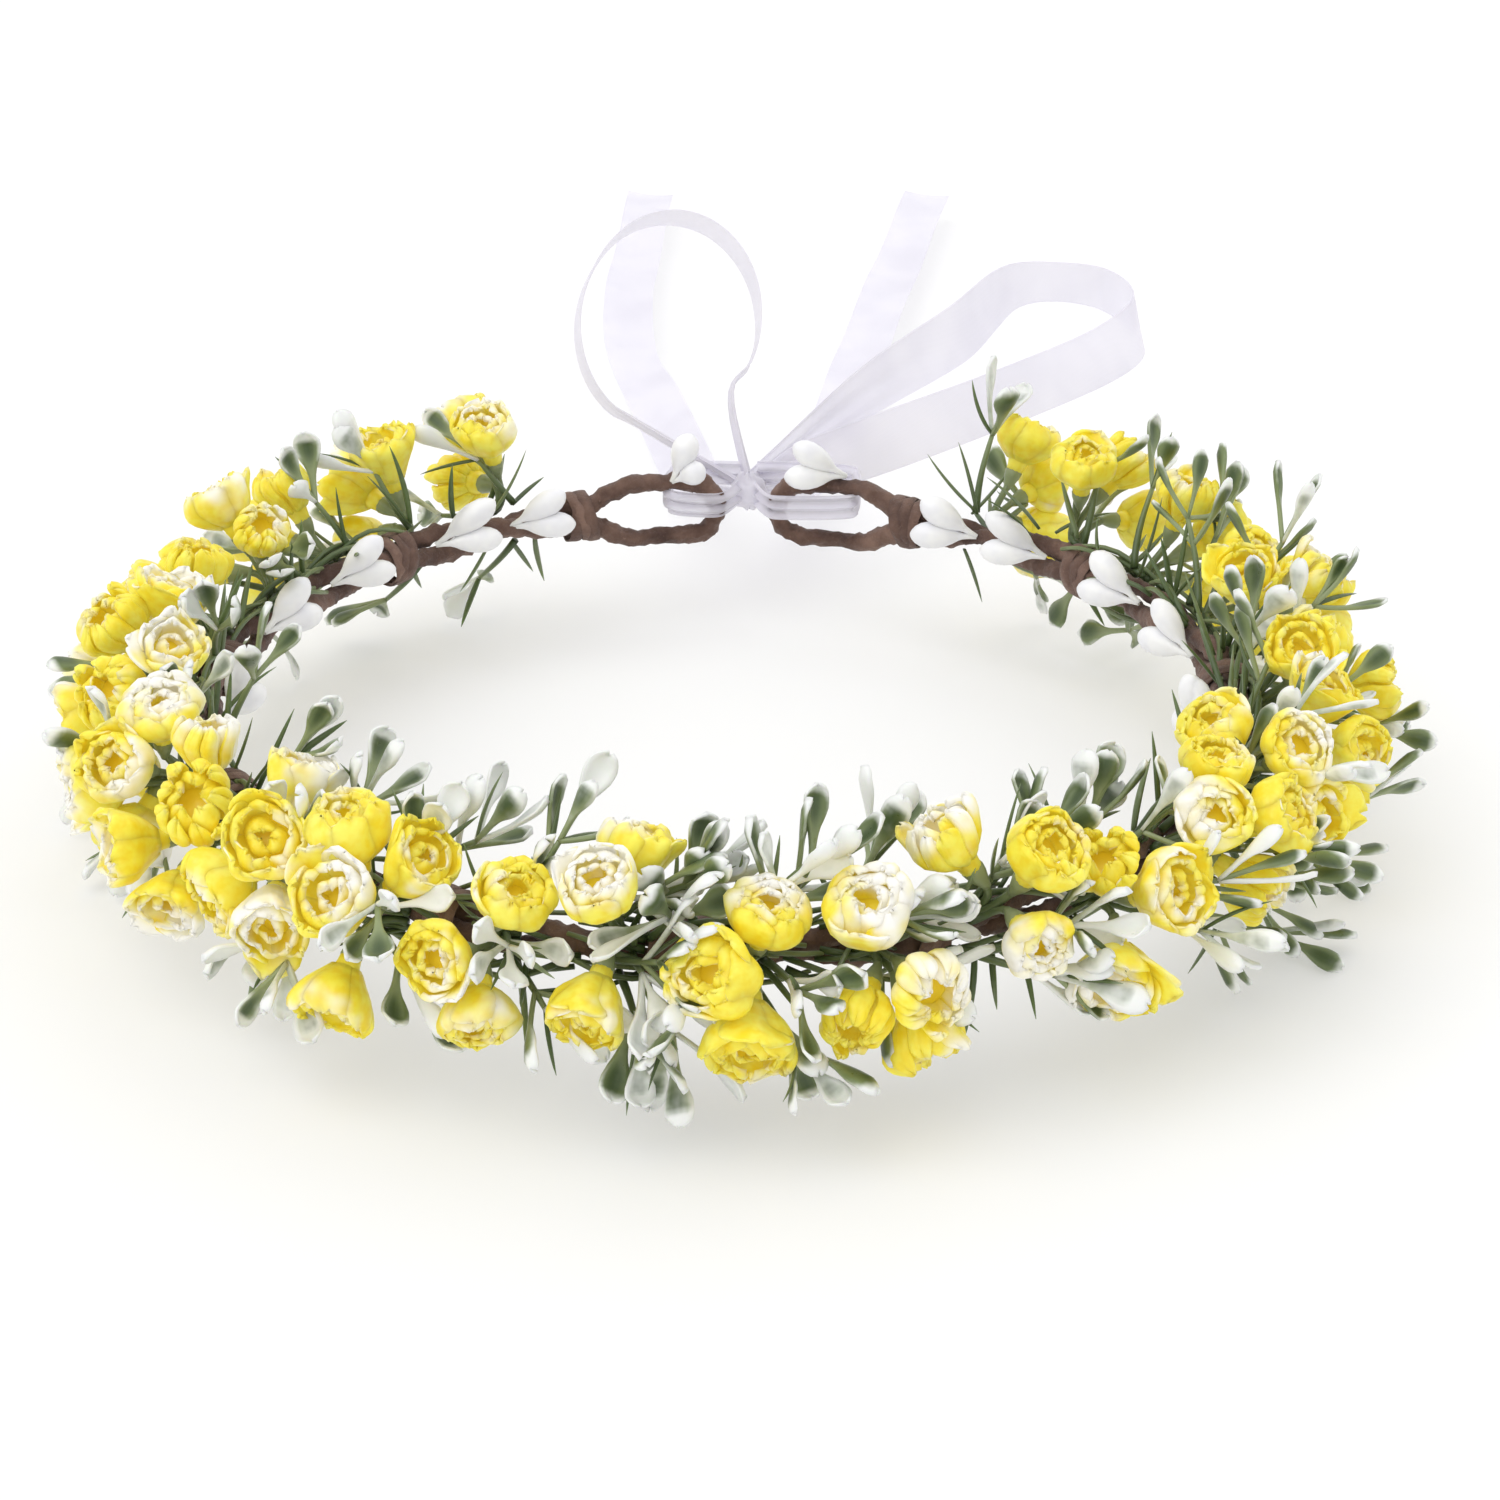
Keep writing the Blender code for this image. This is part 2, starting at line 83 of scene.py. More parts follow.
# Plan of the frame, as its parts are named
SPRIG_PITCH = 12.0
SPRIG_COUNT = 13
WRAP_TURNS = (24.0, 60.0, 96.0, 132.0, 158.5)
PIP_TURNS = (80.0, 104.0, 120.0, 138.0, 149.0, 168.0)
THREE_PIPS = (1, 4)  # these pairs have a third pip
STRAND_R = 0.0016
TWIST_R = 0.0020
TWIST_PITCH = 36.0
HALF_START = 0.5
EYE_START = 160.0
EYE_END = 176.2
EYE_HALF_HEIGHT = 0.0056
EYE_FLARE = 5.0
MOUTH_SPOKE = 0.00475  # from a plain bloom's sunk middle to its rim
SPOKE_SLACK = 0.0003
FEWEST_SPOKES = 6
TIPS_APART = 0.006  # the two tips of a pair of seed pips are further apart than this
MOUTH_HEIGHT = 0.0140  # the detailed bloom's mouth over its calyx
RIBBON_WIDTH = 0.012

# Stretches of the crown, as turns
PALE_END = 45  # the leaves are whitest up to here
FRONT_END = 50
FLANK = (40, 120)

# Sizes of the looks, as (least, most) where they vary
HEAD_SIZE = (0.92, 1.12)
LEAF_LENGTH = (0.0105, 0.0155)
LEAF_WIDTH = (0.0038, 0.0056)
TWIG_LENGTH = (0.009, 0.017)
OUTER_TWIG_LENGTH = (0.015, 0.022)
UPPER_TWIG_LENGTH = (0.007, 0.012)
BROW_TWIG_LENGTH = (0.006, 0.010)
OUTER_TWIG_SLIM = 0.72  # leaf widths on the outer twigs, against the others
WHORL_NEEDLE_LENGTH = (0.009, 0.013)
WHORL_NEEDLE_ODDS = 0.6
RUNNERS = 7  # thin stems along the band, for each sprig
NEEDLE_LENGTH = (0.011, 0.017)
NEEDLE_ROOT = 0.0038  # needles start this far from the band's middle
HINGED_NEEDLE_ROOT = 0.0054  # and this far on a sprig that bends
STEM_R = 0.00075
TAPE_PITCH = 0.0046  # from one lap of tape to the next along a strand
TAPE_THICKNESS = 0.00032
WRAP_LENGTH = 0.0046
BROW_WRAP_LENGTH = 0.0100
WRAP_R = 0.0045
BROW_WRAP_R = 0.0050
RIBBON_THICKNESS = 0.00012
STRAP_WIDTH = 0.0048
GATHERED = 0.3  # the ribbon's width at the knot, against the full width
KNOT_HALF = (0.0034, 0.0030, 0.0037)

# How white leaves are, before the material's own mottling: one of these each
RIGHT_WHITES = (-0.25, -0.1, 0.1, 0.6)
LEFT_WHITES = (-0.1, 0.15, 0.5, 0.9)
FRONT_WHITES = (-0.05, 0.25, 0.6, 0.95)
BROW_WHITES = (-0.05, 0.35, 0.8)

# Leaves keep clear of the florets and near the CAD box
HEAD_MIDDLE = 0.0040  # from a head's mouth back to the middle of its bell
HEAD_ROOM = 0.0062  # leaves keep this far from that middle
FACE_DEPTH = 0.012  # and, this far in front of the mouth,
FACE_ROOM = 0.0042  # this far off its axis
CHECKED_SHARES = (0.35, 0.55, 0.75, 0.95)  # a leaf is checked at these shares of its length
CLEAR_TRIES = 16
LEAF_MARGIN = 0.004  # leaves may pass the CAD box by this


# Small maths


def smooth(low, high, value):
    share = np.clip((value - low) / (high - low), 0, 1)
    return share * share * (3 - 2 * share)


def unit(vectors):
    return vectors / np.maximum(np.linalg.norm(vectors, axis=-1, keepdims=True), 1e-12)


def curve_through(controls, count):
    """Count points on a smooth curve through the controls (rows of any length)."""
    controls = np.asarray(controls, float)
    padded = np.vstack([2 * controls[0] - controls[1], controls, 2 * controls[-1] - controls[-2]])
    at = np.linspace(0, len(controls) - 1, count)
    first = np.minimum(at.astype(int), len(controls) - 2)
    t = (at - first)[:, None]
    a, b, c, d = (padded[first + k] for k in range(4))
    square = (2 * a - 5 * b + 4 * c - d) * t**2
    cube = (3 * b - a - 3 * c + d) * t**3
    return (2 * b + (c - a) * t + square + cube) / 2


def bezier(start, start_pull, end_pull, end, count):
    t = np.linspace(0, 1, count)[:, None]
    start, start_pull, end_pull, end = (np.asarray(p, float) for p in (start, start_pull, end_pull, end))
    from_start = (1 - t) ** 3 * start + 3 * (1 - t) ** 2 * t * start_pull
    return from_start + 3 * (1 - t) * t**2 * end_pull + t**3 * end


def wobble(points, seed):
    """Smooth noise at each point, about -1 to 1."""
    return np.array([noise.noise(Vector(p) + Vector((seed, 0, 0))) for p in points])


def mm(rows):
    """Rows given in millimetres, as an array in metres."""
    return np.array(rows, float) / 1000


def stacked(layout, *layers):
    """Coordinates or the four numbers of a look, each spread over a layout of points."""
    return np.stack([np.broadcast_to(layer, layout) for layer in layers], axis=-1)


# Meshes are gathered as a Shape: points, faces, a slot for each face and a look (four numbers) for each point

GREEN_SLOT = 1  # material slot of the green plastic; a piece's first material is in slot 0


def new_object(name, data):
    obj = bpy.data.objects.new(name, data)
    bpy.context.scene.collection.objects.link(obj)
    return obj


class Shape:
    def __init__(self):
        self.points = []
        self.faces = []
        self.slots = []
        self.looks = []
        self.count = 0

    def add(self, points, faces, looks, slots=0):
        points = np.asarray(points, float).reshape(-1, 3)
        self.points.append(points)
        self.faces.extend(tuple(index + self.count for index in face) for face in faces)
        self.slots.extend(np.broadcast_to(slots, len(faces)).tolist())
        self.looks.append(np.broadcast_to(np.asarray(looks, float), (len(points), 4)))
        self.count += len(points)

    def put(self, other, matrix, tweak=None, slots=None):
        """Adds a moved copy of another shape; tweak changes its looks, given its own points."""
        moved = np.asarray(matrix)
        own = np.vstack(other.points)
        looks = np.vstack(other.looks)
        if tweak is not None:
            looks = tweak(looks.copy(), own)
        points = own @ moved[:3, :3].T + moved[:3, 3]
        self.add(points, other.faces, looks, other.slots if slots is None else slots)

    def object(self, name, materials, auto_smooth=60):
        mesh = bpy.data.meshes.new(name)
        mesh.from_pydata(np.vstack(self.points).tolist(), [], self.faces)
        mesh.polygons.foreach_set("material_index", self.slots)
        attribute = mesh.attributes.new("look", "FLOAT_COLOR", "POINT")
        attribute.data.foreach_set("color", np.vstack(self.looks).astype(np.float32).ravel())
        for finish in materials:
            mesh.materials.append(finish)
        mesh.shade_smooth()
        mesh.set_sharp_from_angle(angle=math.radians(auto_smooth))
        return new_object(name, mesh)


def sheet(shape, grid, thickness, looks):
    """A closed thin sheet on a grid of points (rows, columns, 3)."""
    rows, columns = grid.shape[:2]
    normals = unit(np.cross(np.gradient(grid, axis=1), np.gradient(grid, axis=0)))
    half = np.broadcast_to(thickness, (rows, columns))[..., None] / 2 * normals
    points = np.concatenate([(grid + half).reshape(-1, 3), (grid - half).reshape(-1, 3)])
    under = rows * columns
    at = np.arange(under).reshape(rows, columns)
    faces = []
    quads = np.stack([at[:-1, :-1], at[:-1, 1:], at[1:, 1:], at[1:, :-1]], axis=2)
    for quad in quads.reshape(-1, 4).tolist():
        faces.append(quad)
        faces.append([under + corner for corner in reversed(quad)])
    rim = np.concatenate([at[0], at[1:, -1], at[-1, -2::-1], at[-2:0:-1, 0]]).tolist()
    for a, b in zip(rim, rim[1:] + rim[:1]):
        faces.append((b, a, under + a, under + b))
    shape.add(points, faces, np.concatenate([looks.reshape(-1, 4)] * 2))


def tube_faces(count, sides):
    """The sides of a tube of rings of points."""
    faces = []
    for start in range(0, (count - 1) * sides, sides):
        for j in range(sides):
            a, b = start + j, start + (j + 1) % sides
            faces.append((a, a + sides, b + sides, b))
    return faces


def sweep(shape, path, radii, sides, looks, slot=0, flatness=1.0, up=(0, 0, 1), bumps=None):
    """A closed tube along a path; flatness scales it along 'up', and bumps its radius at each point."""
    path = np.asarray(path, float)
    count = len(path)
    along = unit(np.gradient(path, axis=0))
    ups = np.broadcast_to(np.asarray(up, float), (count, 3))
    side = unit(np.cross(along, ups))
    top = np.cross(side, along)
    angles = np.arange(sides) * math.tau / sides
    radii = np.broadcast_to(radii, (count,))
    ring = np.cos(angles)[None, :, None] * side[:, None, :]
    ring = ring + np.sin(angles)[None, :, None] * top[:, None, :] * np.reshape(flatness, (-1, 1, 1))
    scale = radii[:, None, None]
    if bumps is not None:
        scale = scale * (1 + bumps[:, :, None])
    points = (path[:, None, :] + ring * scale).reshape(-1, 3)
    faces = tube_faces(count, sides)
    points = np.vstack([points, path[0], path[-1]])
    start, end = count * sides, count * sides + 1
    last = (count - 1) * sides
    for j in range(sides):
        faces.append((start, j, (j + 1) % sides))
        faces.append((end, last + (j + 1) % sides, last + j))
    looks = np.vstack([np.repeat(looks, sides, axis=0), looks[:1], looks[-1:]])
    shape.add(points, faces, looks, slot)


def lathe(shape, radii, heights, sides, looks, slot=0):
    """A turned solid on +Z with both ends closed."""
    path = np.stack([np.zeros_like(heights), np.zeros_like(heights), heights], axis=1)
    sweep(shape, path, np.asarray(radii), sides, looks, slot, up=(0, 1, 0))


def aim(origin, direction, spin=0.0):
    matrix = Vector(direction).to_track_quat("Z", "Y").to_matrix().to_4x4() @ Matrix.Rotation(spin, 4, "Z")
    matrix.translation = Vector(origin)
    return matrix


# Materials


class Nodes:
    """Short calls for one material's node tree."""

    def __init__(self, name):
        self.material = bpy.data.materials.new(name)
        self.material.use_nodes = True
        self.tree = self.material.node_tree
        self.shader = self.tree.nodes["Principled BSDF"]

    def node(self, kind, **values):
        made = self.tree.nodes.new("ShaderNode" + kind)
        for key, value in values.items():
            setattr(made, key, value)
        return made

    def link(self, source, target):
        self.tree.links.new(source, target)

    def value(self, socket, given):
        if hasattr(given, "is_linked"):
            self.link(given, socket)
        else:
            socket.default_value = given

    def fill(self, made, **values):
        """Sets or links a node's inputs, named with _ for each space."""
        for key, given in values.items():
            self.value(made.inputs[key.replace("_", " ")], given)
        return made

    def look(self):
        attribute = self.node("Attribute", attribute_name="look")
        parts = self.node("SeparateColor")
        self.link(attribute.outputs["Color"], parts.inputs[0])
        return parts.outputs[0], parts.outputs[1], parts.outputs[2], attribute.outputs["Alpha"]

    def noise(self, scale, detail=2.0, roughness=0.5, distortion=0.0):
        place = self.node("TexCoord").outputs["Object"]
        made = self.node("TexNoise")
        self.fill(made, Vector=place, Scale=scale, Detail=detail, Roughness=roughness, Distortion=distortion)
        return made.outputs["Fac"]

    def math(self, operation, first, second=0.0, third=0.0, clamp=False):
        made = self.node("Math", operation=operation, use_clamp=clamp)
        for socket, given in zip(made.inputs, (first, second, third)):
            self.value(socket, given)
        return made.outputs[0]

    def ramp(self, value, low, high, out_low=0.0, out_high=1.0):
        made = self.node("MapRange", interpolation_type="SMOOTHSTEP")
        self.fill(made, Value=value, From_Min=low, From_Max=high, To_Min=out_low, To_Max=out_high)
        return made.outputs[0]

    def mix(self, share, first, second):
        made = self.node("Mix", data_type="RGBA")
        self.value(made.inputs[0], share)
        for socket, given in ((made.inputs[6], first), (made.inputs[7], second)):
            self.value(socket, given if hasattr(given, "is_linked") else (*given, 1))
        return made.outputs[2]

    def mix_shader(self, share, first, second):
        made = self.node("MixShader")
        for socket, given in zip(made.inputs, (share, first, second)):
            self.value(socket, given)
        return made.outputs[0]

    def bump(self, height, strength, distance):
        made = self.fill(self.node("Bump"), Height=height, Strength=strength, Distance=distance)
        self.link(made.outputs[0], self.shader.inputs["Normal"])

    def set(self, **values):
        self.fill(self.shader, **values)


def floret_material():
    """Translucent yellow plastic that fades to cream, with painted shade in the bloom's hollow and a faint
    painted glow. Look: cream, painted shade, own shade, place across.
    """
    n = Nodes("floret_petal")
    cream, painted_shade, own, across = n.look()
    cream_at = n.math("ADD", cream, n.math("MULTIPLY_ADD", n.noise(240, 1, 0.4), 1.3, -0.68))
    deep = n.mix(own, (0.86, 0.65, 0.022), (0.89, 0.72, 0.040))
    bright = n.mix(own, (0.91, 0.79, 0.070), (0.93, 0.85, 0.130))
    yellow = n.mix(n.ramp(n.noise(420, 2), 0.3, 0.7), deep, bright)
    coloured = n.mix(n.ramp(cream_at, 0.15, 0.95), yellow, (0.94, 0.92, 0.84))
    # painted shade: towards orange yellow in the bloom's hollow and at the petal bases, where shade falls
    shaded = n.mix(n.ramp(painted_shade, 0.1, 1.0, 0.0, 0.8), coloured, (0.92, 0.70, 0.040))
    ribs = n.math("SINE", n.math("MULTIPLY", across, 30.0))
    height = n.math("MULTIPLY_ADD", n.noise(700, 2), 0.3, n.math("MULTIPLY", ribs, 0.5))
    n.bump(height, 0.3, 0.00012)
    n.set(Base_Color=shaded, Roughness=n.ramp(n.noise(700, 2), 0.2, 0.8, 0.30, 0.48))
    n.set(Subsurface_Weight=0.45, Subsurface_Radius=(1.0, 1.0, 0.85), Subsurface_Scale=0.0020)
    # painted glow: the petals emit their own colour faintly, so their shade stays light and warm
    n.set(IOR=1.47, Specular_IOR_Level=0.5, Emission_Color=shaded, Emission_Strength=0.08)
    return n.material


def green_material():
    """Leaf plastic. Look: white share, pale share, own shade, dark share."""
    n = Nodes("leaf_plastic")
    white, pale, own, dark = n.look()
    mottled = n.noise(520, 3, 0.6)
    green = n.mix(own, (0.085, 0.125, 0.038), (0.160, 0.212, 0.074))
    green = n.mix(n.ramp(mottled, 0.35, 0.75, 0.0, 0.5), green, (0.21, 0.28, 0.12))
    green = n.mix(pale, green, (0.31, 0.36, 0.19))
    green = n.mix(n.math("MULTIPLY", dark, n.ramp(mottled, 0.2, 0.6, 0.8, 1.0)), green, (0.045, 0.078, 0.026))
    white_at = n.math("ADD", white, n.math("MULTIPLY_ADD", n.noise(330, 2), 0.6, -0.3))
    coloured = n.mix(n.ramp(white_at, 0.2, 0.9), green, (0.86, 0.88, 0.86))
    n.bump(n.noise(1300, 3), 0.3, 0.00012)
    n.set(Base_Color=coloured, Roughness=n.ramp(mottled, 0.2, 0.8, 0.26, 0.44))
    n.set(Subsurface_Weight=0.15, Subsurface_Radius=(0.7, 1.0, 0.6), Subsurface_Scale=0.0012)
    return n.material


def pip_material():
    n = Nodes("seed_pip")
    pearl = n.ramp(n.noise(240, 2), 0.3, 0.7)
    base, _, _, _ = n.look()
    white = n.mix(pearl, (0.86, 0.86, 0.90), (0.94, 0.94, 0.95))
    n.bump(n.noise(1500, 3), 0.18, 0.00008)
    n.set(Base_Color=n.mix(base, white, (0.80, 0.80, 0.78)), Roughness=0.33)
    n.set(Subsurface_Weight=0.25, Subsurface_Radius=(1, 1, 1), Subsurface_Scale=0.0015)
    n.set(Coat_Weight=0.15, Coat_Roughness=0.2)
    return n.material


def tape_material():
    """Crinkled paper tape, lighter on its raised parts as a painted highlight. Look: ridge, unused, own
    shade, unused.
    """
    n = Nodes("paper_tape")
    ridge, _, own, _ = n.look()
    fibre = n.noise(1100, 6, 0.7, distortion=0.6)
    broad = n.noise(240, 4, 0.6)
    dark = n.mix(own, (0.052, 0.023, 0.017), (0.105, 0.050, 0.034))
    light = n.mix(own, (0.190, 0.105, 0.075), (0.300, 0.185, 0.140))
    # the ridge share is a painted highlight on raised tape; the broad mottling is the paper's own tone
    share = n.math("MULTIPLY_ADD", ridge, 0.45, n.ramp(broad, 0.35, 0.75, 0.0, 0.55), clamp=True)
    coloured = n.mix(share, dark, light)
    coloured = n.mix(n.ramp(fibre, 0.60, 0.78, 0.0, 0.6), coloured, (0.40, 0.28, 0.22))
    n.bump(n.math("ADD", fibre, n.math("MULTIPLY", broad, 0.6)), 0.7, 0.0005)
    n.set(Base_Color=coloured, Roughness=n.ramp(fibre, 0.3, 0.7, 0.62, 0.85), Sheen_Weight=0.15)
    return n.material


def wire_material():
    n = Nodes("wire_steel")
    grain = n.noise(2600, 3)
    n.bump(grain, 0.2, 0.00005)
    n.set(Base_Color=n.mix(grain, (0.40, 0.40, 0.41), (0.55, 0.55, 0.56)), Metallic=1.0)
    n.set(Roughness=n.ramp(grain, 0.3, 0.7, 0.3, 0.5))
    return n.material


def ribbon_material():
    """Sheer woven ribbon. Look: place across, place along, edge, unused."""
    n = Nodes("ribbon_organza")
    across, along, edge, _ = n.look()
    warp = n.math("SINE", n.math("MULTIPLY", across, 260.0))
    weft = n.math("SINE", n.math("MULTIPLY", along, 9000.0))
    weave = n.math("MULTIPLY", warp, weft)
    cloud = n.noise(70, 2)
    colour = n.mix(n.ramp(cloud, 0.3, 0.7), (0.81, 0.79, 0.88), (0.90, 0.88, 0.95))
    n.bump(weave, 0.25, 0.00006)
    n.set(Base_Color=colour, Roughness=0.42, Sheen_Weight=0.4, Sheen_Roughness=0.35)
    n.set(Specular_IOR_Level=0.3)
    opacity = n.math("MULTIPLY_ADD", weave, 0.05, 0.56)
    opacity = n.math("MAXIMUM", opacity, n.math("MULTIPLY", edge, 0.8))
    slant = n.fill(n.node("LayerWeight"), Blend=0.25).outputs["Facing"]
    opacity = n.math("ADD", opacity, n.math("MULTIPLY", slant, 0.35), clamp=True)
    translucent = n.fill(n.node("BsdfTranslucent"), Color=(0.96, 0.95, 0.99, 1))
    body = n.mix_shader(0.4, n.shader.outputs[0], translucent.outputs[0])
    whole = n.mix_shader(opacity, n.node("BsdfTransparent").outputs[0], body)
    n.link(whole, n.tree.nodes["Material Output"].inputs["Surface"])
    return n.material


PETAL = floret_material()
GREEN = green_material()
PIP = pip_material()
TAPE = tape_material()
WIRE = wire_material()
RIBBON = ribbon_material()


# Florets

PETAL_ROUND_FROM = 0.68  # a petal narrows from this share of its length to its tip


def petal(shape, rng, at, half_angle, profile, cream, painted_shade, thick):
    """One cupped petal on the bloom's side: profile is (radius, height) controls from base to tip."""
    rows, columns = 12, 11
    share = 1 - (1 - np.linspace(0, 1, rows)) ** 1.5
    fine = curve_through(profile, 60)
    line = np.stack([np.interp(share, np.linspace(0, 1, 60), fine[:, k]) for k in range(2)], axis=1)
    along = share[:, None]
    across = np.linspace(-1, 1, columns)[None, :]
    tip = np.clip((along - PETAL_ROUND_FROM) / (1 - PETAL_ROUND_FROM), 0, 1)
    width = half_angle * (0.92 + 0.24 * np.sin(np.pi * along * 0.9)) * np.sqrt(1 - 0.93 * tip**2.2)
    angle = at + across * width + rng.uniform(-0.12, 0.12) * along**2
    belly = np.sin(np.pi * np.clip(along * 0.85 + 0.1, 0, 1))
    radius = line[:, :1] * (0.95 + 0.09 * (1 - across**2) * belly) + 0.00016 * across
    ruffle = np.sin(across * rng.uniform(5, 8) + rng.uniform(0, math.tau)) * along**3
    radius = radius + 0.00006 * np.cos(across * 9 + rng.uniform(0, 3)) * along + 0.00032 * ruffle
    notch = rng.choice((0.0, 0.0005, 0.0009)) * np.exp(-((across - rng.uniform(-0.3, 0.3)) ** 2) / 0.05)
    height = line[:, 1:2] - 0.0006 * across**2 * along**3 - notch * along**4 + 0.00030 * ruffle
    grid = stacked((rows, columns), radius * np.cos(angle), radius * np.sin(angle), height)
    paler = cream + 0.45 * along**2 + 0.10 * across**2 * along
    # painted shade, strongest at the petal's base in the bloom's hollow and fading towards its tip
    sunk = np.clip(painted_shade - 0.35 * along, 0, 1)
    looks = stacked((rows, columns), paler, sunk, rng.random(), (across + 1) / 2)
    pillow = (1 - 0.25 * along - 0.35 * along**8) * (1 - 0.6 * across**4)
    sheet(shape, grid, thick * pillow, looks)


def whorl(shape, rng, count, start, reach, profile, jitter, thick, cream, painted_shade, flare_odds):
    """A ring of petals, each a little different."""
    for index in range(count):
        at = start + index * math.tau / count + rng.uniform(-0.07, 0.07)
        lift = rng.uniform(-jitter, jitter)
        curl = rng.uniform(-jitter, jitter) * 0.8
        if rng.random() < flare_odds:
            curl += rng.uniform(0.0012, 0.0026)
        moved = profile.copy()
        moved[-2] += (curl * 0.45, lift * 0.7)
        moved[-1] += (curl, lift)
        petal(shape, rng, at, math.pi / count * reach, moved, cream + rng.uniform(-0.12, 0.12), painted_shade, thick)


# For each whorl, outside first: petals, turned by, reach; in millimetres the profile's radii and heights, the
# jitter and the thickness; then cream, painted shade at the petal bases and flare odds
WHORLS = {
    "full": (
        (6, 0.0, 1.34, (2.2, 4.6, 5.8, 5.6, 4.5), (6.0, 8.0, 10.4, 12.5, 13.7), 0.5, 1.05, 0.0, 0.0, 0.04),
        (5, 0.5, 1.28, (2.0, 3.8, 4.5, 4.0, 2.9), (6.8, 9.0, 11.2, 13.1, 14.1), 0.5, 1.0, 0.08, 0.15, 0.0),
        (3, 1.0, 1.2, (1.4, 2.5, 2.8, 2.5, 1.6), (7.6, 9.4, 11.0, 12.6, 13.3), 0.4, 0.9, 0.05, 0.4, 0.0),
    ),
    "cup": (
        (6, 0.0, 1.32, (2.2, 3.6, 5.0, 5.9, 5.7), (5.6, 7.6, 10.0, 12.4, 14.0), 0.6, 1.0, 0.0, 0.0, 0.3),
        (5, 0.5, 1.25, (1.8, 3.4, 4.3, 4.4, 3.7), (6.8, 8.8, 10.8, 12.6, 13.6), 0.5, 1.0, 0.1, 0.25, 0.0),
        (3, 1.0, 1.1, (1.0, 2.0, 2.4, 2.1, 1.2), (7.8, 9.4, 10.8, 12.0, 12.5), 0.4, 0.9, 0.05, 0.7, 0.0),
    ),
    "fingers": (
        (9, 0.0, 0.84, (2.2, 4.2, 5.4, 5.2, 3.8), (6.2, 8.0, 10.4, 12.9, 14.3), 0.7, 1.15, 0.0, 0.1, 0.15),
        (5, 0.4, 0.95, (1.8, 3.3, 3.9, 3.3, 2.1), (7.2, 9.2, 11.2, 13.0, 13.8), 0.5, 1.05, 0.05, 0.45, 0.0),
    ),
    "open": (
        (6, 0.0, 1.26, (2.2, 4.4, 5.7, 5.9, 5.5), (6.2, 8.0, 10.2, 12.4, 13.8), 0.6, 1.05, 0.0, 0.0, 0.25),
        (6, 0.5, 1.15, (2.0, 3.9, 4.6, 4.4, 3.6), (7.0, 9.1, 11.2, 13.0, 13.9), 0.5, 1.0, 0.1, 0.2, 0.0),
        (4, 1.0, 1.1, (1.2, 2.4, 2.9, 2.6, 1.8), (7.8, 9.4, 11.0, 12.4, 13.0), 0.4, 0.9, 0.1, 0.6, 0.0),
    ),
}


def bloom(seed, kind):
    """A floret head on +Z: green calyx at 0, yellow neck, whorls of petals, mouth at MOUTH_HEIGHT."""
    rng = random.Random(seed)
    shape = Shape()
    heights = mm([-0.6, 0.0, 1.0, 2.2, 3.4, 4.0])
    radii = mm([0.7, 0.8, 1.2, 1.6, 1.8, 1.4])
    lathe(shape, radii, heights, 10, stacked((len(heights),), 0.0, 0.8, 0.5, 0.0), slot=GREEN_SLOT)
    heights = mm([2.2, 3.0, 4.5, 6.0, 7.2, 8.4, 9.4, 10.0])
    radii = mm([1.3, 1.6, 1.8, 2.2, 2.8, 3.6, 3.8, 2.4])
    # painted shade at the top of the neck, deep in the bloom's hollow
    sunk = (0, 0, 0, 0, 0, 0, 0.5, 1.0)
    lathe(shape, radii, heights, 14, stacked((len(heights),), -0.1, sunk, 0.5, 0.0))
    twist = rng.uniform(0, math.tau)
    for count, turned, reach, radii, heights, jitter, thick, *rest in WHORLS[kind]:
        profile = mm([radii, heights]).T
        whorl(shape, rng, count, twist + turned, reach, profile, jitter / 1000, thick / 1000, *rest)
    return shape


# Leaves


def spoon_leaf(rng, length, width, whites):
    """A spoon leaf on +Z from its stalk's start: a stalk that widens into a thick round bowl facing +Y."""
    shape = Shape()
    white = rng.choice(whites)
    rows, columns = 16, 7
    at = (1 - (1 - np.linspace(0, 1, rows)) ** 1.25)[:, None]  # rows are closer together near the tip
    across = np.linspace(-1, 1, columns)[None, :]
    known = (0.0, 0.30, 0.44, 0.54, 0.64, 0.76, 0.86, 0.93, 0.975, 1.0)
    spread = (0.17, 0.20, 0.30, 0.48, 0.74, 0.97, 0.98, 0.78, 0.48, 0.12)
    half = width / 2 * np.interp(at, known, spread)
    bowl = smooth(0.42, 0.75, at)
    bend = rng.uniform(-0.12, 0.20) * length
    y = bend * at**2 + 0.20 * width * bowl * (across**2 - 0.4) + 0.13 * width * smooth(0.85, 1.0, at)
    grid = stacked((rows, columns), half * across, y, length * at)
    thick = (0.00085 - 0.00025 * bowl) * (1 - 0.35 * np.abs(across) ** 3)
    rim_white = 0.85 * smooth(0.82, 1.0, at) + 0.55 * bowl * np.abs(across) ** 4
    middle = 1 - smooth(0.15, 0.85, np.abs(across))
    dark = 0.9 * middle * bowl * (1 - smooth(0.86, 1.0, at))
    looks = stacked((rows, columns), white + rim_white, 0.8 * (1 - 0.7 * bowl), rng.random(), dark)
    sheet(shape, grid, thick, looks)
    return shape


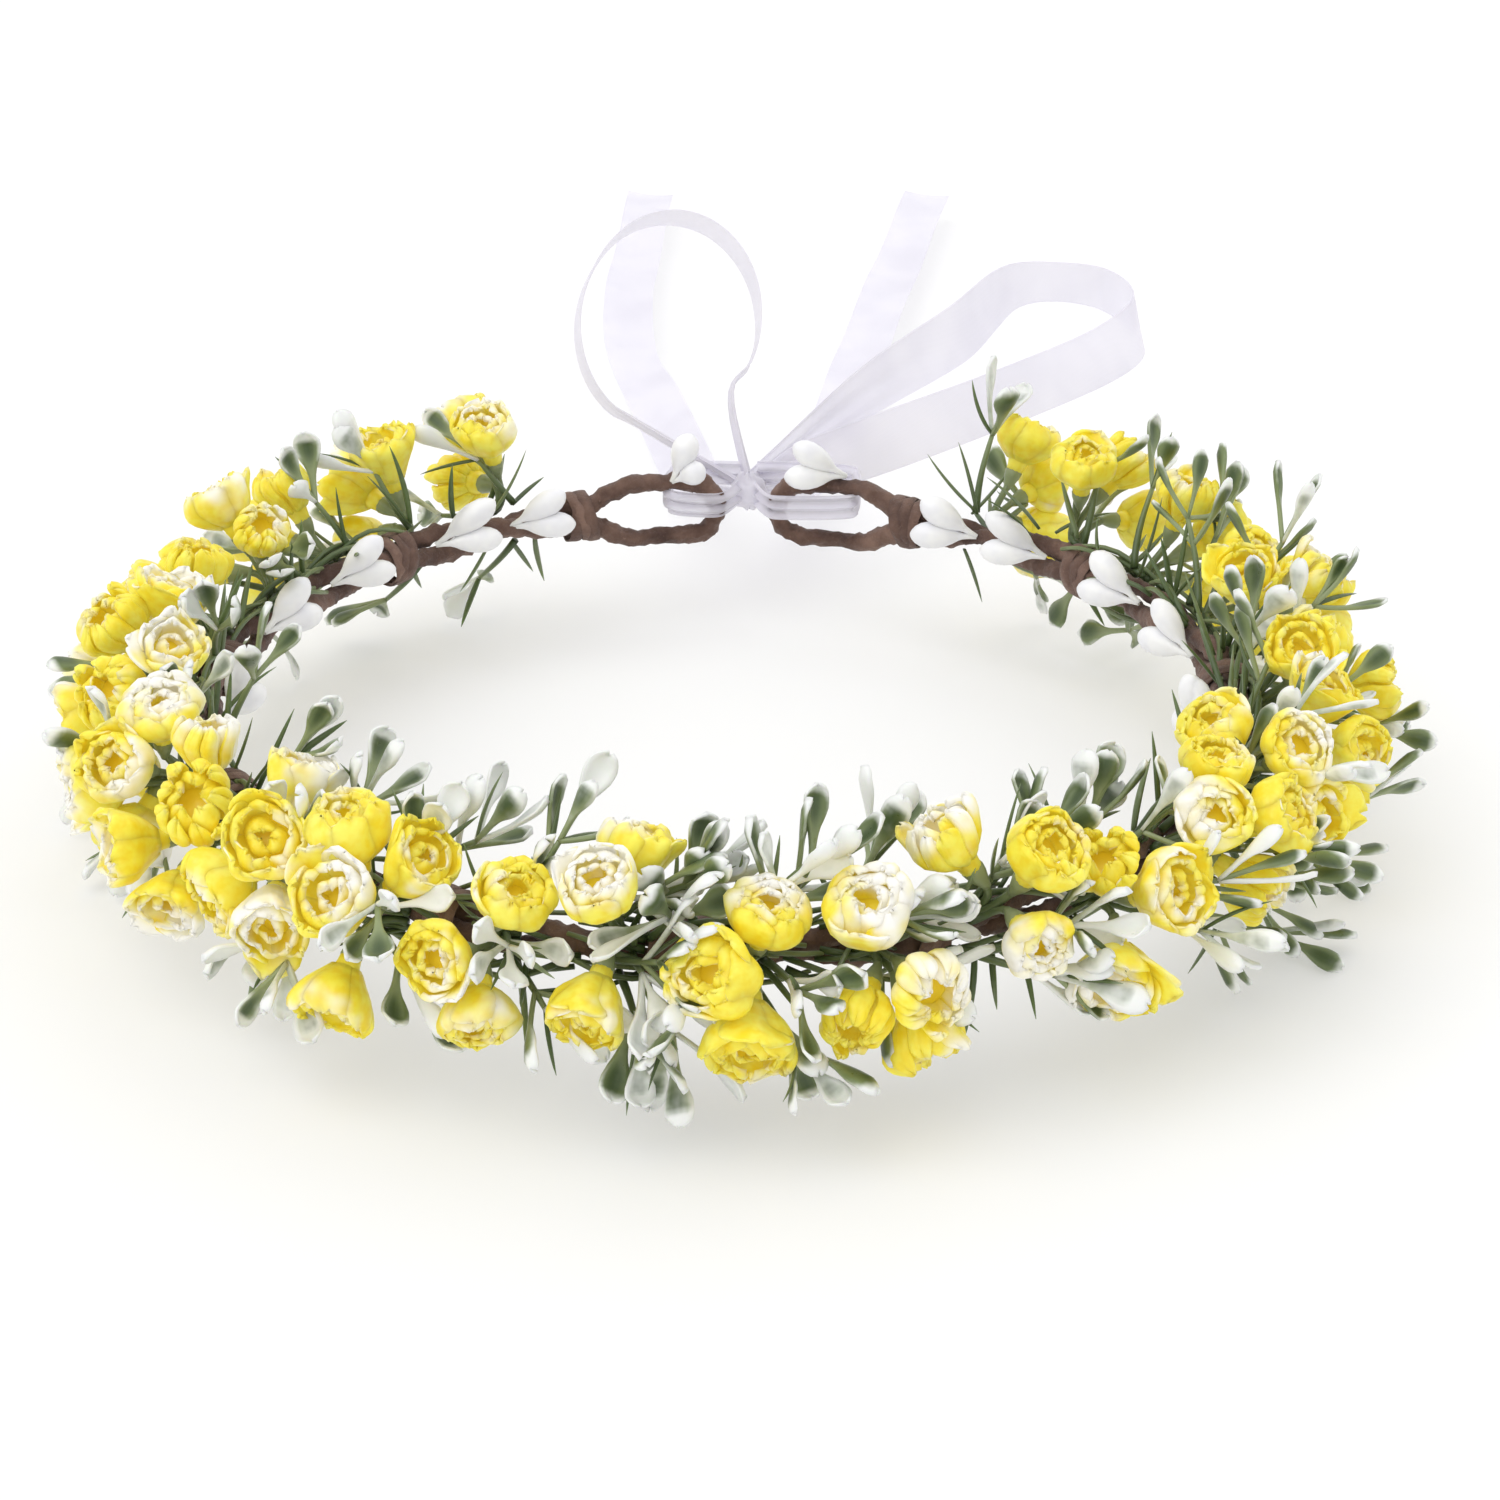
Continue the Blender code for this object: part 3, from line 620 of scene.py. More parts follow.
def needle_leaf(rng, length):
    shape = Shape()
    count = 9
    at = np.linspace(0, 1, count)
    bend = rng.uniform(-0.30, 0.30) * length
    path = np.stack([0.4 * bend * at**2, bend * at**2, length * at], axis=1)
    radii = 0.00052 * np.sin(np.pi * np.clip(0.25 + 0.75 * at, 0, 1)) ** 0.7 + 0.00005
    white = rng.choice((-0.2, -0.2, -0.1, 0.1)) + 0.2 * at
    pale = rng.choice((0.0, 0.0, 0.4))
    looks = stacked((count,), white, pale, rng.random(), rng.uniform(0.3, 0.9) * (1 - 0.5 * at))
    sweep(shape, path, radii, 6, looks, up=(0, 1, 0), flatness=0.55)
    return shape


BLOOM_KINDS = "full cup fingers open full cup fingers cup open full fingers cup".split()
BLOOMS = [bloom(index, kind) for index, kind in enumerate(BLOOM_KINDS)]


# The ring's own frame


def band_point(side, turn):
    angle = math.radians(turn)
    return CENTRE + Vector((side * math.sin(angle), -math.cos(angle), 0)) * RING_R


def band_frame(side, turn):
    """Columns: towards the back along the band, outward, up."""
    outward = (band_point(side, turn) - CENTRE).normalized()
    backward = Vector((side * math.cos(math.radians(turn)), math.sin(math.radians(turn)), 0))
    matrix = Matrix((backward, outward, Vector((0, 0, 1)))).transposed().to_4x4()
    matrix.translation = band_point(side, turn)
    return matrix


def rolled(roll, back=0.0):
    """A unit direction in the band frame, leaning towards the back by an angle."""
    angle = math.radians(roll)
    return Vector((math.tan(math.radians(back)), math.cos(angle), math.sin(angle))).normalized()


def frame_points(node):
    """The different corner points of a CAD node and each one's neighbours."""
    mesh = frame["nodes"][node].data
    matrix = np.array(frame["nodes"][node].matrix_world)
    raw = np.zeros(len(mesh.vertices) * 3)
    mesh.vertices.foreach_get("co", raw)
    raw = raw.reshape(-1, 3) @ matrix[:3, :3].T + matrix[:3, 3]
    points, index = np.unique(np.round(raw, 6), axis=0, return_inverse=True)
    index = index.reshape(-1)
    near = [set() for _ in points]
    for edge in mesh.edges:
        a, b = (int(index[v]) for v in edge.vertices)
        if a != b:
            near[a].add(b)
            near[b].add(a)
    return points, near


def bloom_places(node):
    """(mouth, axis) of each plain bloom of a sprig: spokes of one length run from its sunk middle."""
    points, near = frame_points(node)
    found = []
    for point, around in zip(points, near):
        if len(around) < FEWEST_SPOKES:
            continue
        rim = points[sorted(around)]
        spokes = np.linalg.norm(rim - point, axis=1)
        if abs(spokes - MOUTH_SPOKE).max() < SPOKE_SLACK:
            found.append((Vector(point), Vector(rim.mean(axis=0) - point).normalized()))
    return found


def two_tips(points, start):
    """The point furthest from a start, and the furthest of those that aren't at the same tip."""
    order = points[np.argsort(-np.linalg.norm(points - np.array(start), axis=1))]
    others = order[np.linalg.norm(order - order[0], axis=1) > TIPS_APART]
    return Vector(order[0]), Vector(others[0])


def stands_for(obj, node):
    """Makes a piece stand for a CAD node, on that node's body."""
    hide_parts(node)
    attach(obj, BODY_OF[node])


HEADS = [head for node in BODY_OF if node.startswith("sprig_") for head in bloom_places(node)]
HEAD_MOUTHS, HEAD_AXES = (np.array([head[part] for head in HEADS]) for part in (0, 1))


# Sprigs


def stem(shape, path, start_r, end_r, rng):
    count = len(path)
    pale = np.linspace(0.0, 0.6, count)
    dark = np.linspace(0.9, 0.1, count)
    looks = stacked((count,), 0.0, pale, rng.uniform(0.2, 0.9), dark)
    sweep(shape, path, np.linspace(start_r, end_r, count), 7, looks, slot=GREEN_SLOT)


def softened(head, rng):
    """A copy of a bloom, a little squashed and rippled, so that no two are the same."""
    copy = Shape()
    copy.put(head, Matrix())
    points = copy.points[0]
    rise = smooth(0.004, 0.011, points[:, 2])[:, None]
    phase = np.array([rng.uniform(0, math.tau) for _ in range(6)])
    ripple = np.sin(points[:, [1, 2, 0]] * 620 + phase[:3])
    ripple = ripple + 0.6 * np.sin(points[:, [2, 0, 1]] * 1150 + phase[3:])
    squash = np.array([rng.uniform(0.90, 1.08), rng.uniform(0.90, 1.08), rng.uniform(0.97, 1.03)])
    lean = np.array([rng.uniform(-0.10, 0.10), rng.uniform(-0.10, 0.10), 0.0])
    bent = points * squash + lean * (points[:, 2:] - 0.009) + 0.00034 * ripple
    copy.points[0] = points * (1 - rise) + bent * rise
    return copy


def clear_of_heads(points):
    """Whether no point is inside a floret head or right in front of its mouth."""
    away = points[:, None, :] - HEAD_MOUTHS[None, :, :]
    if np.linalg.norm(away + HEAD_AXES[None] * HEAD_MIDDLE, axis=2).min() < HEAD_ROOM:
        return False
    ahead = (away * HEAD_AXES[None]).sum(axis=2)
    aside = np.linalg.norm(away - ahead[..., None] * HEAD_AXES[None], axis=2)
    return not ((ahead > 0) & (ahead < FACE_DEPTH) & (aside < FACE_ROOM)).any()


def clear_aim(matrix, at, direction, length, rng):
    """The matrix of a leaf, turned away if it would run through a head; None if no try is clear."""
    for _ in range(CLEAR_TRIES):
        local = aim(at, direction, rng.uniform(-0.5, 0.5))
        placed = matrix @ local
        along = np.array([placed @ Vector((0, 0, length * share)) for share in CHECKED_SHARES])
        inside = (along > BOX_LOW - LEAF_MARGIN).all() and (along < BOX_HIGH + LEAF_MARGIN).all()
        if inside and clear_of_heads(along):
            return placed
        push = Vector((rng.uniform(-1, 1), rng.uniform(-1, 1), rng.uniform(-0.4, 0.8)))
        direction = (direction + push * 0.7).normalized()
    return None


def grow(shape, leaf, matrix, at, direction, length, rng, *details):
    """Puts a leaf where it runs clear of the heads, or leaves it out."""
    placed = clear_aim(matrix, at, direction, length, rng)
    if placed is not None:
        shape.put(leaf(rng, length, *details), placed, slots=GREEN_SLOT)


def leaning(tilt, turn):
    """A unit direction at a tilt in degrees off +Z, towards a turn in radians."""
    tilt = math.radians(tilt)
    return Vector((math.sin(tilt) * math.cos(turn), math.sin(tilt) * math.sin(turn), math.cos(tilt)))


def leafiness(side, turn):
    """How leafy the crown is at a turn: most on the right front and side, least at the left side."""
    if side > 0:
        return 0.35 + 0.65 * float(smooth(-25, 25, turn) * (1 - smooth(95, 130, turn)))
    return 0.75 - 0.45 * float(smooth(25, 60, turn))


def leaf_twig(shape, matrix, length, whorls, rng, whites, slim=1.0):
    """A stem with whorls of spoon leaves and a few needles, on the matrix's +Z; slim narrows the leaves."""
    bend = Vector((rng.uniform(-0.2, 0.2), rng.uniform(-0.2, 0.2), 0)) * length
    pull = Vector((0, 0, length * 0.7)) + bend * 0.5
    local = bezier((0, 0, 0), (0, 0, length * 0.4), pull, Vector((0, 0, length)) + bend, 8)
    world = np.array([matrix @ Vector(p) for p in local])
    stem(shape, world, STEM_R, 0.00045, rng)
    for level in range(whorls):
        share = 0.42 + 0.58 * (level + 1) / whorls
        at = Vector(curve_through(local, 50)[int(share * 49)])
        top = level == whorls - 1
        leaves = 3 if top else 2
        spin = rng.uniform(0, math.tau)
        for index in range(leaves):
            tilt = rng.uniform(3, 15) if top and index == 0 else rng.uniform(22, 55)
            turn = spin + index * math.tau / leaves + rng.uniform(-0.3, 0.3)
            width = rng.uniform(*LEAF_WIDTH) * slim
            reach = rng.uniform(*LEAF_LENGTH)
            grow(shape, spoon_leaf, matrix, at, leaning(tilt, turn), reach, rng, width, whites)
        if rng.random() < WHORL_NEEDLE_ODDS:
            tilt = rng.uniform(30, 60)
            turn = rng.uniform(0, math.tau)
            reach = rng.uniform(*WHORL_NEEDLE_LENGTH)
            grow(shape, needle_leaf, matrix, at, leaning(tilt, turn), reach, rng)


def floret(shape, base, mouth, axis, yellower, rng):
    """One head on a CAD mouth and axis, with its stem from the band."""
    size = rng.uniform(*HEAD_SIZE)
    start = mouth - axis * MOUTH_HEIGHT * size
    head = rng.choice(BLOOMS)
    shade = rng.choice((-0.40, -0.25, -0.10, 0.05, 0.30)) - yellower
    pale_side = rng.uniform(0, math.tau)

    def tint(looks, own):
        towards = own[:, 0] * math.cos(pale_side) + own[:, 1] * math.sin(pale_side)
        looks[:, 0] += np.where(looks[:, 3] > 0, shade + 60 * towards, 0)
        return looks

    placed = aim(start, axis, rng.uniform(0, math.tau)) @ Matrix.Scale(size, 4)
    shape.put(softened(head, rng), placed, tint)
    local = base.inverted() @ start
    roll = math.degrees(math.atan2(local.z, local.y))
    root = base @ (rolled(roll) * 0.0042 + Vector((-0.004, 0, 0)))
    backward = base @ Vector((0.004, 0, 0)) - base.translation
    path = bezier(root, root + backward, start - axis * 0.003, start + axis * 0.001, 9)
    stem(shape, path, STEM_R, 0.00065, rng)


def twigs_of_leaves(shape, side, turn, base, leafy, rng):
    """Leafy twigs round the band, from its outer underside over the top to the inside."""
    front = turn < FRONT_END
    flank = FLANK[0] < turn < FLANK[1]
    whites = RIGHT_WHITES if side > 0 else LEFT_WHITES
    if turn < PALE_END:
        whites = FRONT_WHITES
    count = 2 + round(2.4 * leafy)
    first_roll = rng.uniform(-30, -10) if front else rng.uniform(-60, -40)
    sector = 165 + (45 if side < 0 and flank else 0)
    for index in range(count):
        roll = first_roll + index * sector / count + rng.uniform(-12, 12)
        start = base @ (rolled(roll) * WRAP_R + Vector((rng.uniform(-0.006, 0.003), 0, 0)))
        swing = rng.uniform(25, 60) if turn < 60 else rng.uniform(0, 45)
        direction = base.to_3x3() @ rolled(roll, side * swing)
        outer = side > 0 and flank and roll < 70
        upper = front and roll > 60
        length = rng.uniform(*(OUTER_TWIG_LENGTH if outer else UPPER_TWIG_LENGTH if upper else TWIG_LENGTH))
        slim = OUTER_TWIG_SLIM if outer else 1.0
        leaf_twig(shape, aim(start, direction), length, 2 if leafy > 0.5 else 1, rng, whites, slim)


def brow_twigs(shape, side, rng):
    """Short twigs that lean over the join of the two halves."""
    for roll in (-35, 5, 45, 90):
        spot = band_frame(side, rng.uniform(0.5, 5.0))
        start = spot @ (rolled(roll + rng.uniform(-12, 12)) * BROW_WRAP_R)
        direction = spot.to_3x3() @ rolled(roll + rng.uniform(-25, 25), rng.uniform(-50, -10))
        leaf_twig(shape, aim(start, direction), rng.uniform(*BROW_TWIG_LENGTH), 1, rng, BROW_WHITES)


def needles_on_band(shape, base, root_r, count, rng):
    for _ in range(count):
        roll = rng.uniform(-70, 130)
        start = base @ (rolled(roll) * root_r + Vector((rng.uniform(-0.006, 0.006), 0, 0)))
        direction = base.to_3x3() @ rolled(roll, rng.uniform(-30, 60))
        grow(shape, needle_leaf, Matrix(), start, direction, rng.uniform(*NEEDLE_LENGTH), rng)


def runner_stems(shape, side, turn, rng):
    """Thin stems that run along the band and hide it."""
    for _ in range(RUNNERS):
        roll = rng.uniform(-80, 130)
        first = rng.uniform(-9, -1)
        drift = rng.uniform(-9, 9)
        lift = rng.uniform(0.0, 0.0035)
        path = [
            band_frame(side, turn + first + step * 1.8)
            @ (rolled(roll + step * drift) * (0.0040 + lift * math.sin(step * 0.5)))
            for step in range(7)
        ]
        stem(shape, np.array(path), rng.uniform(0.00045, 0.0007), 0.0004, rng)


def sprig(side, name, number):
    node = f"sprig_{name}_{number:02d}"
    rng = random.Random(1000 * number + (7 if side > 0 else 3))
    turn = SPRIG_PITCH * (number - 0.5)
    base = band_frame(side, turn)
    shape = Shape()
    yellower = 0.16 if side > 0 and turn > 40 else 0.0
    for mouth, axis in bloom_places(node):
        floret(shape, base, mouth, axis, yellower, rng)
    leafy = leafiness(side, turn)
    twigs_of_leaves(shape, side, turn, base, leafy, rng)
    if number == 1:
        brow_twigs(shape, side, rng)
    hinged = BODY_OF[node] != BODY_OF["vine_" + name]
    root_r = HINGED_NEEDLE_ROOT if hinged else NEEDLE_ROOT
    needles_on_band(shape, base, root_r, round(4 + 5 * leafy), rng)
    if not hinged:  # stems that run along the band would cut it when a sprig bends
        runner_stems(shape, side, turn, rng)
    obj = shape.object(node.replace("sprig", "floret_sprig"), [PETAL, GREEN], auto_smooth=100)
    stands_for(obj, node)


# Seed pips


def seed(shape, start, tip, rng):
    length = (tip - start).length
    heights = mm([0, 1.2, 2.4, 3.2, 4.2, 5.5, 7.0, 8.5, 9.8, 10.8, 11.4, 11.7])
    radii = mm([0.5, 0.5, 0.6, 0.9, 1.5, 2.1, 2.45, 2.5, 2.2, 1.6, 0.9, 0.3])
    looks = stacked((len(heights),), smooth(0.0032, 0.0012, heights), 0.0, rng.random(), 0.0)
    local = Shape()
    lathe(local, radii * rng.uniform(0.92, 1.08), heights * length / heights[-1], 16, looks)
    shape.put(local, aim(start, tip - start))


def pip_pair(side, name, number, turn):
    """Two seed pips on the tips of a CAD pair; some have a third between them."""
    node = f"pips_{name}_{number}"
    rng = random.Random(number + (50 if side > 0 else 90))
    base = band_point(side, turn)
    points, _ = frame_points(node)
    root = Vector(points[np.argmin(np.linalg.norm(points - np.array(base), axis=1))])
    centre = Vector(points.mean(axis=0))
    root = root + (centre - root) * 0.08
    shape = Shape()
    tips = two_tips(points, root)
    for tip in tips:
        seed(shape, root, tip, rng)
    if number in THREE_PIPS:
        seed(shape, root, (tips[0] + tips[1]) / 2 + Vector((0, 0, 0.004)), rng)
    obj = shape.object(node.replace("pips", "seed_pips"), [PIP])
    stands_for(obj, node)


# Band


def strand_path(side, count):
    """The taped strand: out along the ring, round the eye and back, twisted on itself."""
    turns = np.linspace(HALF_START, EYE_START, count)

    def twist(turn, phase):
        angle = math.radians((turn - EYE_START) / TWIST_PITCH * 360 + phase)
        return band_frame(side, turn) @ (Vector((0, math.cos(angle), math.sin(angle))) * TWIST_R)

    def eye(turn, height):
        return band_point(side, turn) + Vector((0, 0, height))

    arc_degrees = math.degrees(EYE_HALF_HEIGHT / RING_R)
    arc_start = EYE_END - arc_degrees
    top = [
        eye(EYE_START + EYE_FLARE * 0.5, TWIST_R * 0.45 + EYE_HALF_HEIGHT * 0.55),
        eye(EYE_START + EYE_FLARE, EYE_HALF_HEIGHT),
        eye((EYE_START + EYE_FLARE + arc_start) / 2, EYE_HALF_HEIGHT),
    ]
    arc = []
    for step in range(9):
        angle = math.pi / 2 - math.pi * step / 8
        arc.append(eye(arc_start + arc_degrees * math.cos(angle), EYE_HALF_HEIGHT * math.sin(angle)))
    bottom = [Vector((p.x, p.y, -p.z)) for p in reversed(top)]
    out = [twist(turn, 90) for turn in turns]
    back = [twist(turn, 270) for turn in reversed(turns)]
    eye_points = curve_through([out[-1], *top, *arc, *bottom, back[0]], 90)[1:-1]
    return np.vstack([np.array(out), eye_points, np.array(back)])


def vine(side, name):
    """The strand with its spiral of crinkled tape: a ridge where each turn laps the last, lumps between."""
    path = strand_path(side, 420)
    steps = np.linalg.norm(np.diff(path, axis=0), axis=1)
    along = np.concatenate([[0], np.cumsum(steps)])[:, None]
    sides = 16
    angles = np.arange(sides) * math.tau / sides
    lap = (along / TAPE_PITCH + angles / math.tau) % 1.0
    ridge = np.exp(-((lap - 0.5) ** 2) / 0.010)
    fall = 0.14 * (lap - 0.5)
    rough = np.zeros((len(path), sides))
    for j, angle in enumerate(angles):
        around = np.broadcast_to((math.cos(angle) * 1.5, math.sin(angle) * 1.5), (len(along), 2))
        probes = np.column_stack([along * 520, around])
        rough[:, j] = wobble(probes, 11.0 * side)
    swell = wobble(np.column_stack([along * 95, 0 * along, 0 * along]), 5.0 * side)[:, None]
    shape = Shape()
    bumps = 0.14 * ridge + 0.34 * rough + 0.30 * swell + fall
    # painted highlight: the tape is lighter, in both ridge and own shade, where the strand swells out
    looks = stacked((len(path),), 0.35 + 0.8 * swell[:, 0], 0.0, 0.5 + 0.6 * swell[:, 0], 0.0)
    sweep(shape, path, STRAND_R * 1.06, sides, looks, bumps=bumps)
    obj = shape.object("taped_vine_" + name, [TAPE], auto_smooth=75)
    stands_for(obj, "vine_" + name)


def tape_wrap(node, side, turn, length, radius, rng):
    """Three laps of tape round the band and the stems, a little askew."""
    base = band_frame(side, turn)
    shape = Shape()
    rows, columns = 9, 40
    for lap in range(3):
        offset = (lap - 1) * length * 0.30
        slant = rng.uniform(-0.0016, 0.0016)
        grid = np.zeros((rows, columns + 1, 3))
        for i in range(rows):
            across = (i / (rows - 1) - 0.5) * length * 0.52
            for j in range(columns + 1):
                angle = math.tau * j / columns
                out, up = math.cos(angle), math.sin(angle)
                bump = noise.noise(Vector((out * 2.3, up * 2.3, lap * 3.1 + turn + across * 500)))
                fold = 1 - (2 * i / (rows - 1) - 1) ** 2
                reach = radius * (1 + 0.07 * bump) + 0.00012 * lap + 0.0002 * fold
                grid[i, j] = base @ Vector((offset + across + slant * up, reach * out, reach * up))
        # painted highlight: each lap is lighter along its raised middle and darker towards its edges
        ridge = 0.35 + 0.4 * (1 - np.abs(np.linspace(-1, 1, rows)))[:, None]
        sheet(shape, grid, TAPE_THICKNESS, stacked((rows, columns + 1), ridge, 0.0, rng.random(), 0.0))
    stands_for(shape.object("tape_" + node, [TAPE]), node)


# Ribbon


def ribbon(node, controls, across, widths, rng, cup=0.0, wave=0.0, edge=1.0):
    """A soft strip: controls in millimetres from the knot, with the strip's direction across at each."""
    count, columns = 90, 13
    line = curve_through(mm(controls) + np.array(KNOT), count)
    direction = unit(curve_through(across, count))
    tangent = unit(np.gradient(line, axis=0))
    direction = unit(direction - tangent * (direction * tangent).sum(axis=1, keepdims=True))
    normal = np.cross(tangent, direction)
    width = curve_through(np.asarray(widths)[:, None], count)
    steps = np.linalg.norm(np.diff(line, axis=0), axis=1)
    length = np.concatenate([[0], np.cumsum(steps)])[:, None]
    side = np.linspace(-1, 1, columns)[None, :]
    gather = 1 - np.clip(width / RIBBON_WIDTH, 0, 1)
    pleats = np.cos(side * 7.5) * gather * 0.0013
    arch = cup * (1 - side**2)
    ripple = wave * np.sin(length * 95 + side * 0.8 + rng.uniform(0, 6)) * (1 - gather)
    grid = line[:, None] + direction[:, None] * (width * side / 2)[..., None]
    grid = grid + normal[:, None] * (pleats + arch + ripple)[..., None]
    hem = (np.abs(side) > 0.97) * edge
    shape = Shape()
    sheet(shape, grid, RIBBON_THICKNESS, stacked((count, columns), (side + 1) / 2, length, hem, 0.0))
    name = node.split("_", 1)[1]
    stands_for(shape.object(name, [RIBBON], auto_smooth=80), node)


def gathered(count, both=False):
    """Widths that grow from a gathered start, or from both ends, to the full ribbon."""
    share = np.linspace(0, 1, count)
    from_end = np.minimum(share, 1 - share) if both else share
    return RIBBON_WIDTH * np.minimum(1.0, GATHERED + (1 - GATHERED) * from_end / 0.14)


def tails(rng):
    """They hang from the knot and then lie on the table."""
    table = TAIL_LEVEL * 1000
    left = [(-2, 3, -1.5), (-6.8, 13, -6), (-11, 28, -12), (-15, 52, table + 2), (-25, 95, table + 1)]
    left += [(-34, 130, table + 1), (-38.5, 170, table + 1), (-39.5, 215, table + 1), (-40, 260, table + 1)]
    across = [(1, 0, -0.5), (1, 0.1, -0.5), (1, 0.2, 0.2), (0.9, 0.3, 0.5), (0.8, 0.3, 0.3), (1, 0.1, 0)]
    across += [(1, 0, 0)] * 3
    ribbon("ribbon_tail_left", left, across, gathered(len(left)), rng, cup=0.0006, wave=0.0007)
    right = [(2, 3, -1.5), (4.5, 15, -6), (7.2, 32, table * 0.75), (11, 60, table + 1), (16, 100, table + 1)]
    right += [(21, 150, table + 1), (27.5, 207, table + 1), (34, 264, table + 1)]
    across = [(1, 0, 0.4), (1, 0, 0.3), (1, 0, 0.15)] + [(1, 0, 0)] * 5
    ribbon("ribbon_tail_right", right, across, gathered(len(right)), rng, cup=0.0005, wave=0.0006)


def left_loop(rng):
    """A round hoop that stands up from the knot and leans back."""
    lean = math.radians(28)
    rise = np.array([0, math.sin(lean), math.cos(lean)])
    controls = [(-2.0, 0.4, 0.6)]
    for step in range(15):
        angle = math.radians(252 - 294 * step / 14)
        up = 33.0 + 21.5 * math.sin(angle)
        controls.append(np.array([-17.0 + 18.0 * math.cos(angle), 0, 0]) + rise * up)
    controls.append((0.4, 0.4, 1.2))
    facing = np.array([0.0, -math.cos(lean), math.sin(lean)])
    across = [facing + np.array([0.18, 0, 0.06])] * len(controls)
    ribbon("bow_loop_left", controls, across, gathered(len(controls), True), rng, cup=0.0004, wave=0.0003)


def right_loop(rng):
    """A long loop that runs out to the right over the sprigs and back under itself."""
    controls = [(1.5, 1, 0.8), (10, 8.5, 1.6), (22, 18, 2), (50, 46, 3), (74, 74, 4), (81, 88, 7)]
    controls += [(72, 99, 10.5), (54, 91, 12.5), (40.5, 60, 12), (22, 30, 9.5), (1.2, 1, 2.2)]
    across = [(-0.2, 0.3, 0.9)] * 3 + [(-0.3, 0.4, 0.85)] * 2
    across += [(-0.2, 0.1, 1.0), (-0.1, -0.4, 0.9), (-0.3, -0.5, 0.7)] + [(-0.3, 0.2, 0.8)] * 3
    ribbon("bow_loop_right", controls, across, gathered(len(controls), True), rng, cup=0.0005, wave=0.0004)


def straps(rng):
    """From the knot through each eye, round the wire and back."""
    for side, name, reach in ((-1, "left", 15.8), (1, "right", 21.3)):
        plan = [(1.6, -1.6), (4.2, -8.5), (7.5, -10.8), (reach - 2, -10.8), (reach, -8.5)]
        plan += [(reach, -0.5), (reach - 2, 2), (9, 2), (1.6, 1.2)]
        controls = [(side * x, y, 0.4 * index) for index, (x, y) in enumerate(plan)]
        across = [(0.0, 0.15, 1)] * len(plan)
        widths = [STRAP_WIDTH] * len(plan)
        ribbon("ribbon_strap_" + name, controls, across, widths, rng, wave=0.00025, edge=0.3)


def knot():
    """The tied middle: a small round body of pleats."""
    shape = Shape()
    rows, columns = 20, 28
    grid = np.zeros((rows, columns, 3))
    for i in range(rows):
        theta = math.pi * (i + 0.5) / rows
        for j in range(columns):
            phi = math.tau * j / columns
            fold = 1 + 0.10 * math.cos(phi * 5 + 3 * math.cos(theta)) + 0.06 * math.cos(theta * 7 + phi)
            ball = (math.sin(theta) * math.cos(phi), math.sin(theta) * math.sin(phi), math.cos(theta))
            grid[i, j] = [half * place * fold for half, place in zip(KNOT_HALF, ball)]
    points = grid.reshape(-1, 3) + np.array(KNOT)
    faces = tube_faces(rows, columns)
    faces.append(tuple(range(columns)))
    faces.append(tuple(reversed(range((rows - 1) * columns, rows * columns))))
    shape.add(points, faces, (0.5, 0.0, 0.9, 0.0))
    stands_for(shape.object("tied_knot", [RIBBON], auto_smooth=80), "ribbon_knot")


# The stage

FLOOR_HALF = 6.0
FLOOR_GAP = 0.0005  # the floor is this far under the lowest point
FLOOR_GLOW = 0.28
SKY_LIGHT, SKY_SEEN = 0.84, 1.04  # seen directly, the sky is as white as the floor
LENS = 85
VIEW_AZIMUTH, VIEW_ELEVATION, VIEW_DISTANCE = 3.0, 26.0, 0.620
TARGET_RIGHT, TARGET_DOWN = 0.0053, 0.0088  # the middle of the picture, from the middle of the ring


def floor(level):
    mesh = bpy.data.meshes.new("floor")
    corners = [(x * FLOOR_HALF, y * FLOOR_HALF, level) for x, y in ((-1, -1), (1, -1), (1, 1), (-1, 1))]
    mesh.from_pydata(corners, [], [(0, 1, 2, 3)])
    n = Nodes("floor_white")
    n.set(Base_Color=(0.66, 0.66, 0.66, 1), Roughness=0.9)
    n.set(Emission_Color=(1, 1, 1, 1), Emission_Strength=FLOOR_GLOW)  # shadows stay pale
    mesh.materials.append(n.material)
    new_object("floor", mesh)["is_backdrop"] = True


def soft_sun(name, direction, strength, spread):
    """A far light as wide as a softbox, from a direction."""
    data = bpy.data.lights.new(name, "SUN")
    data.angle = math.radians(spread)
    data.energy = strength
    facing = (-Vector(direction)).to_track_quat("-Z", "Y")
    new_object(name, data).rotation_euler = facing.to_euler()


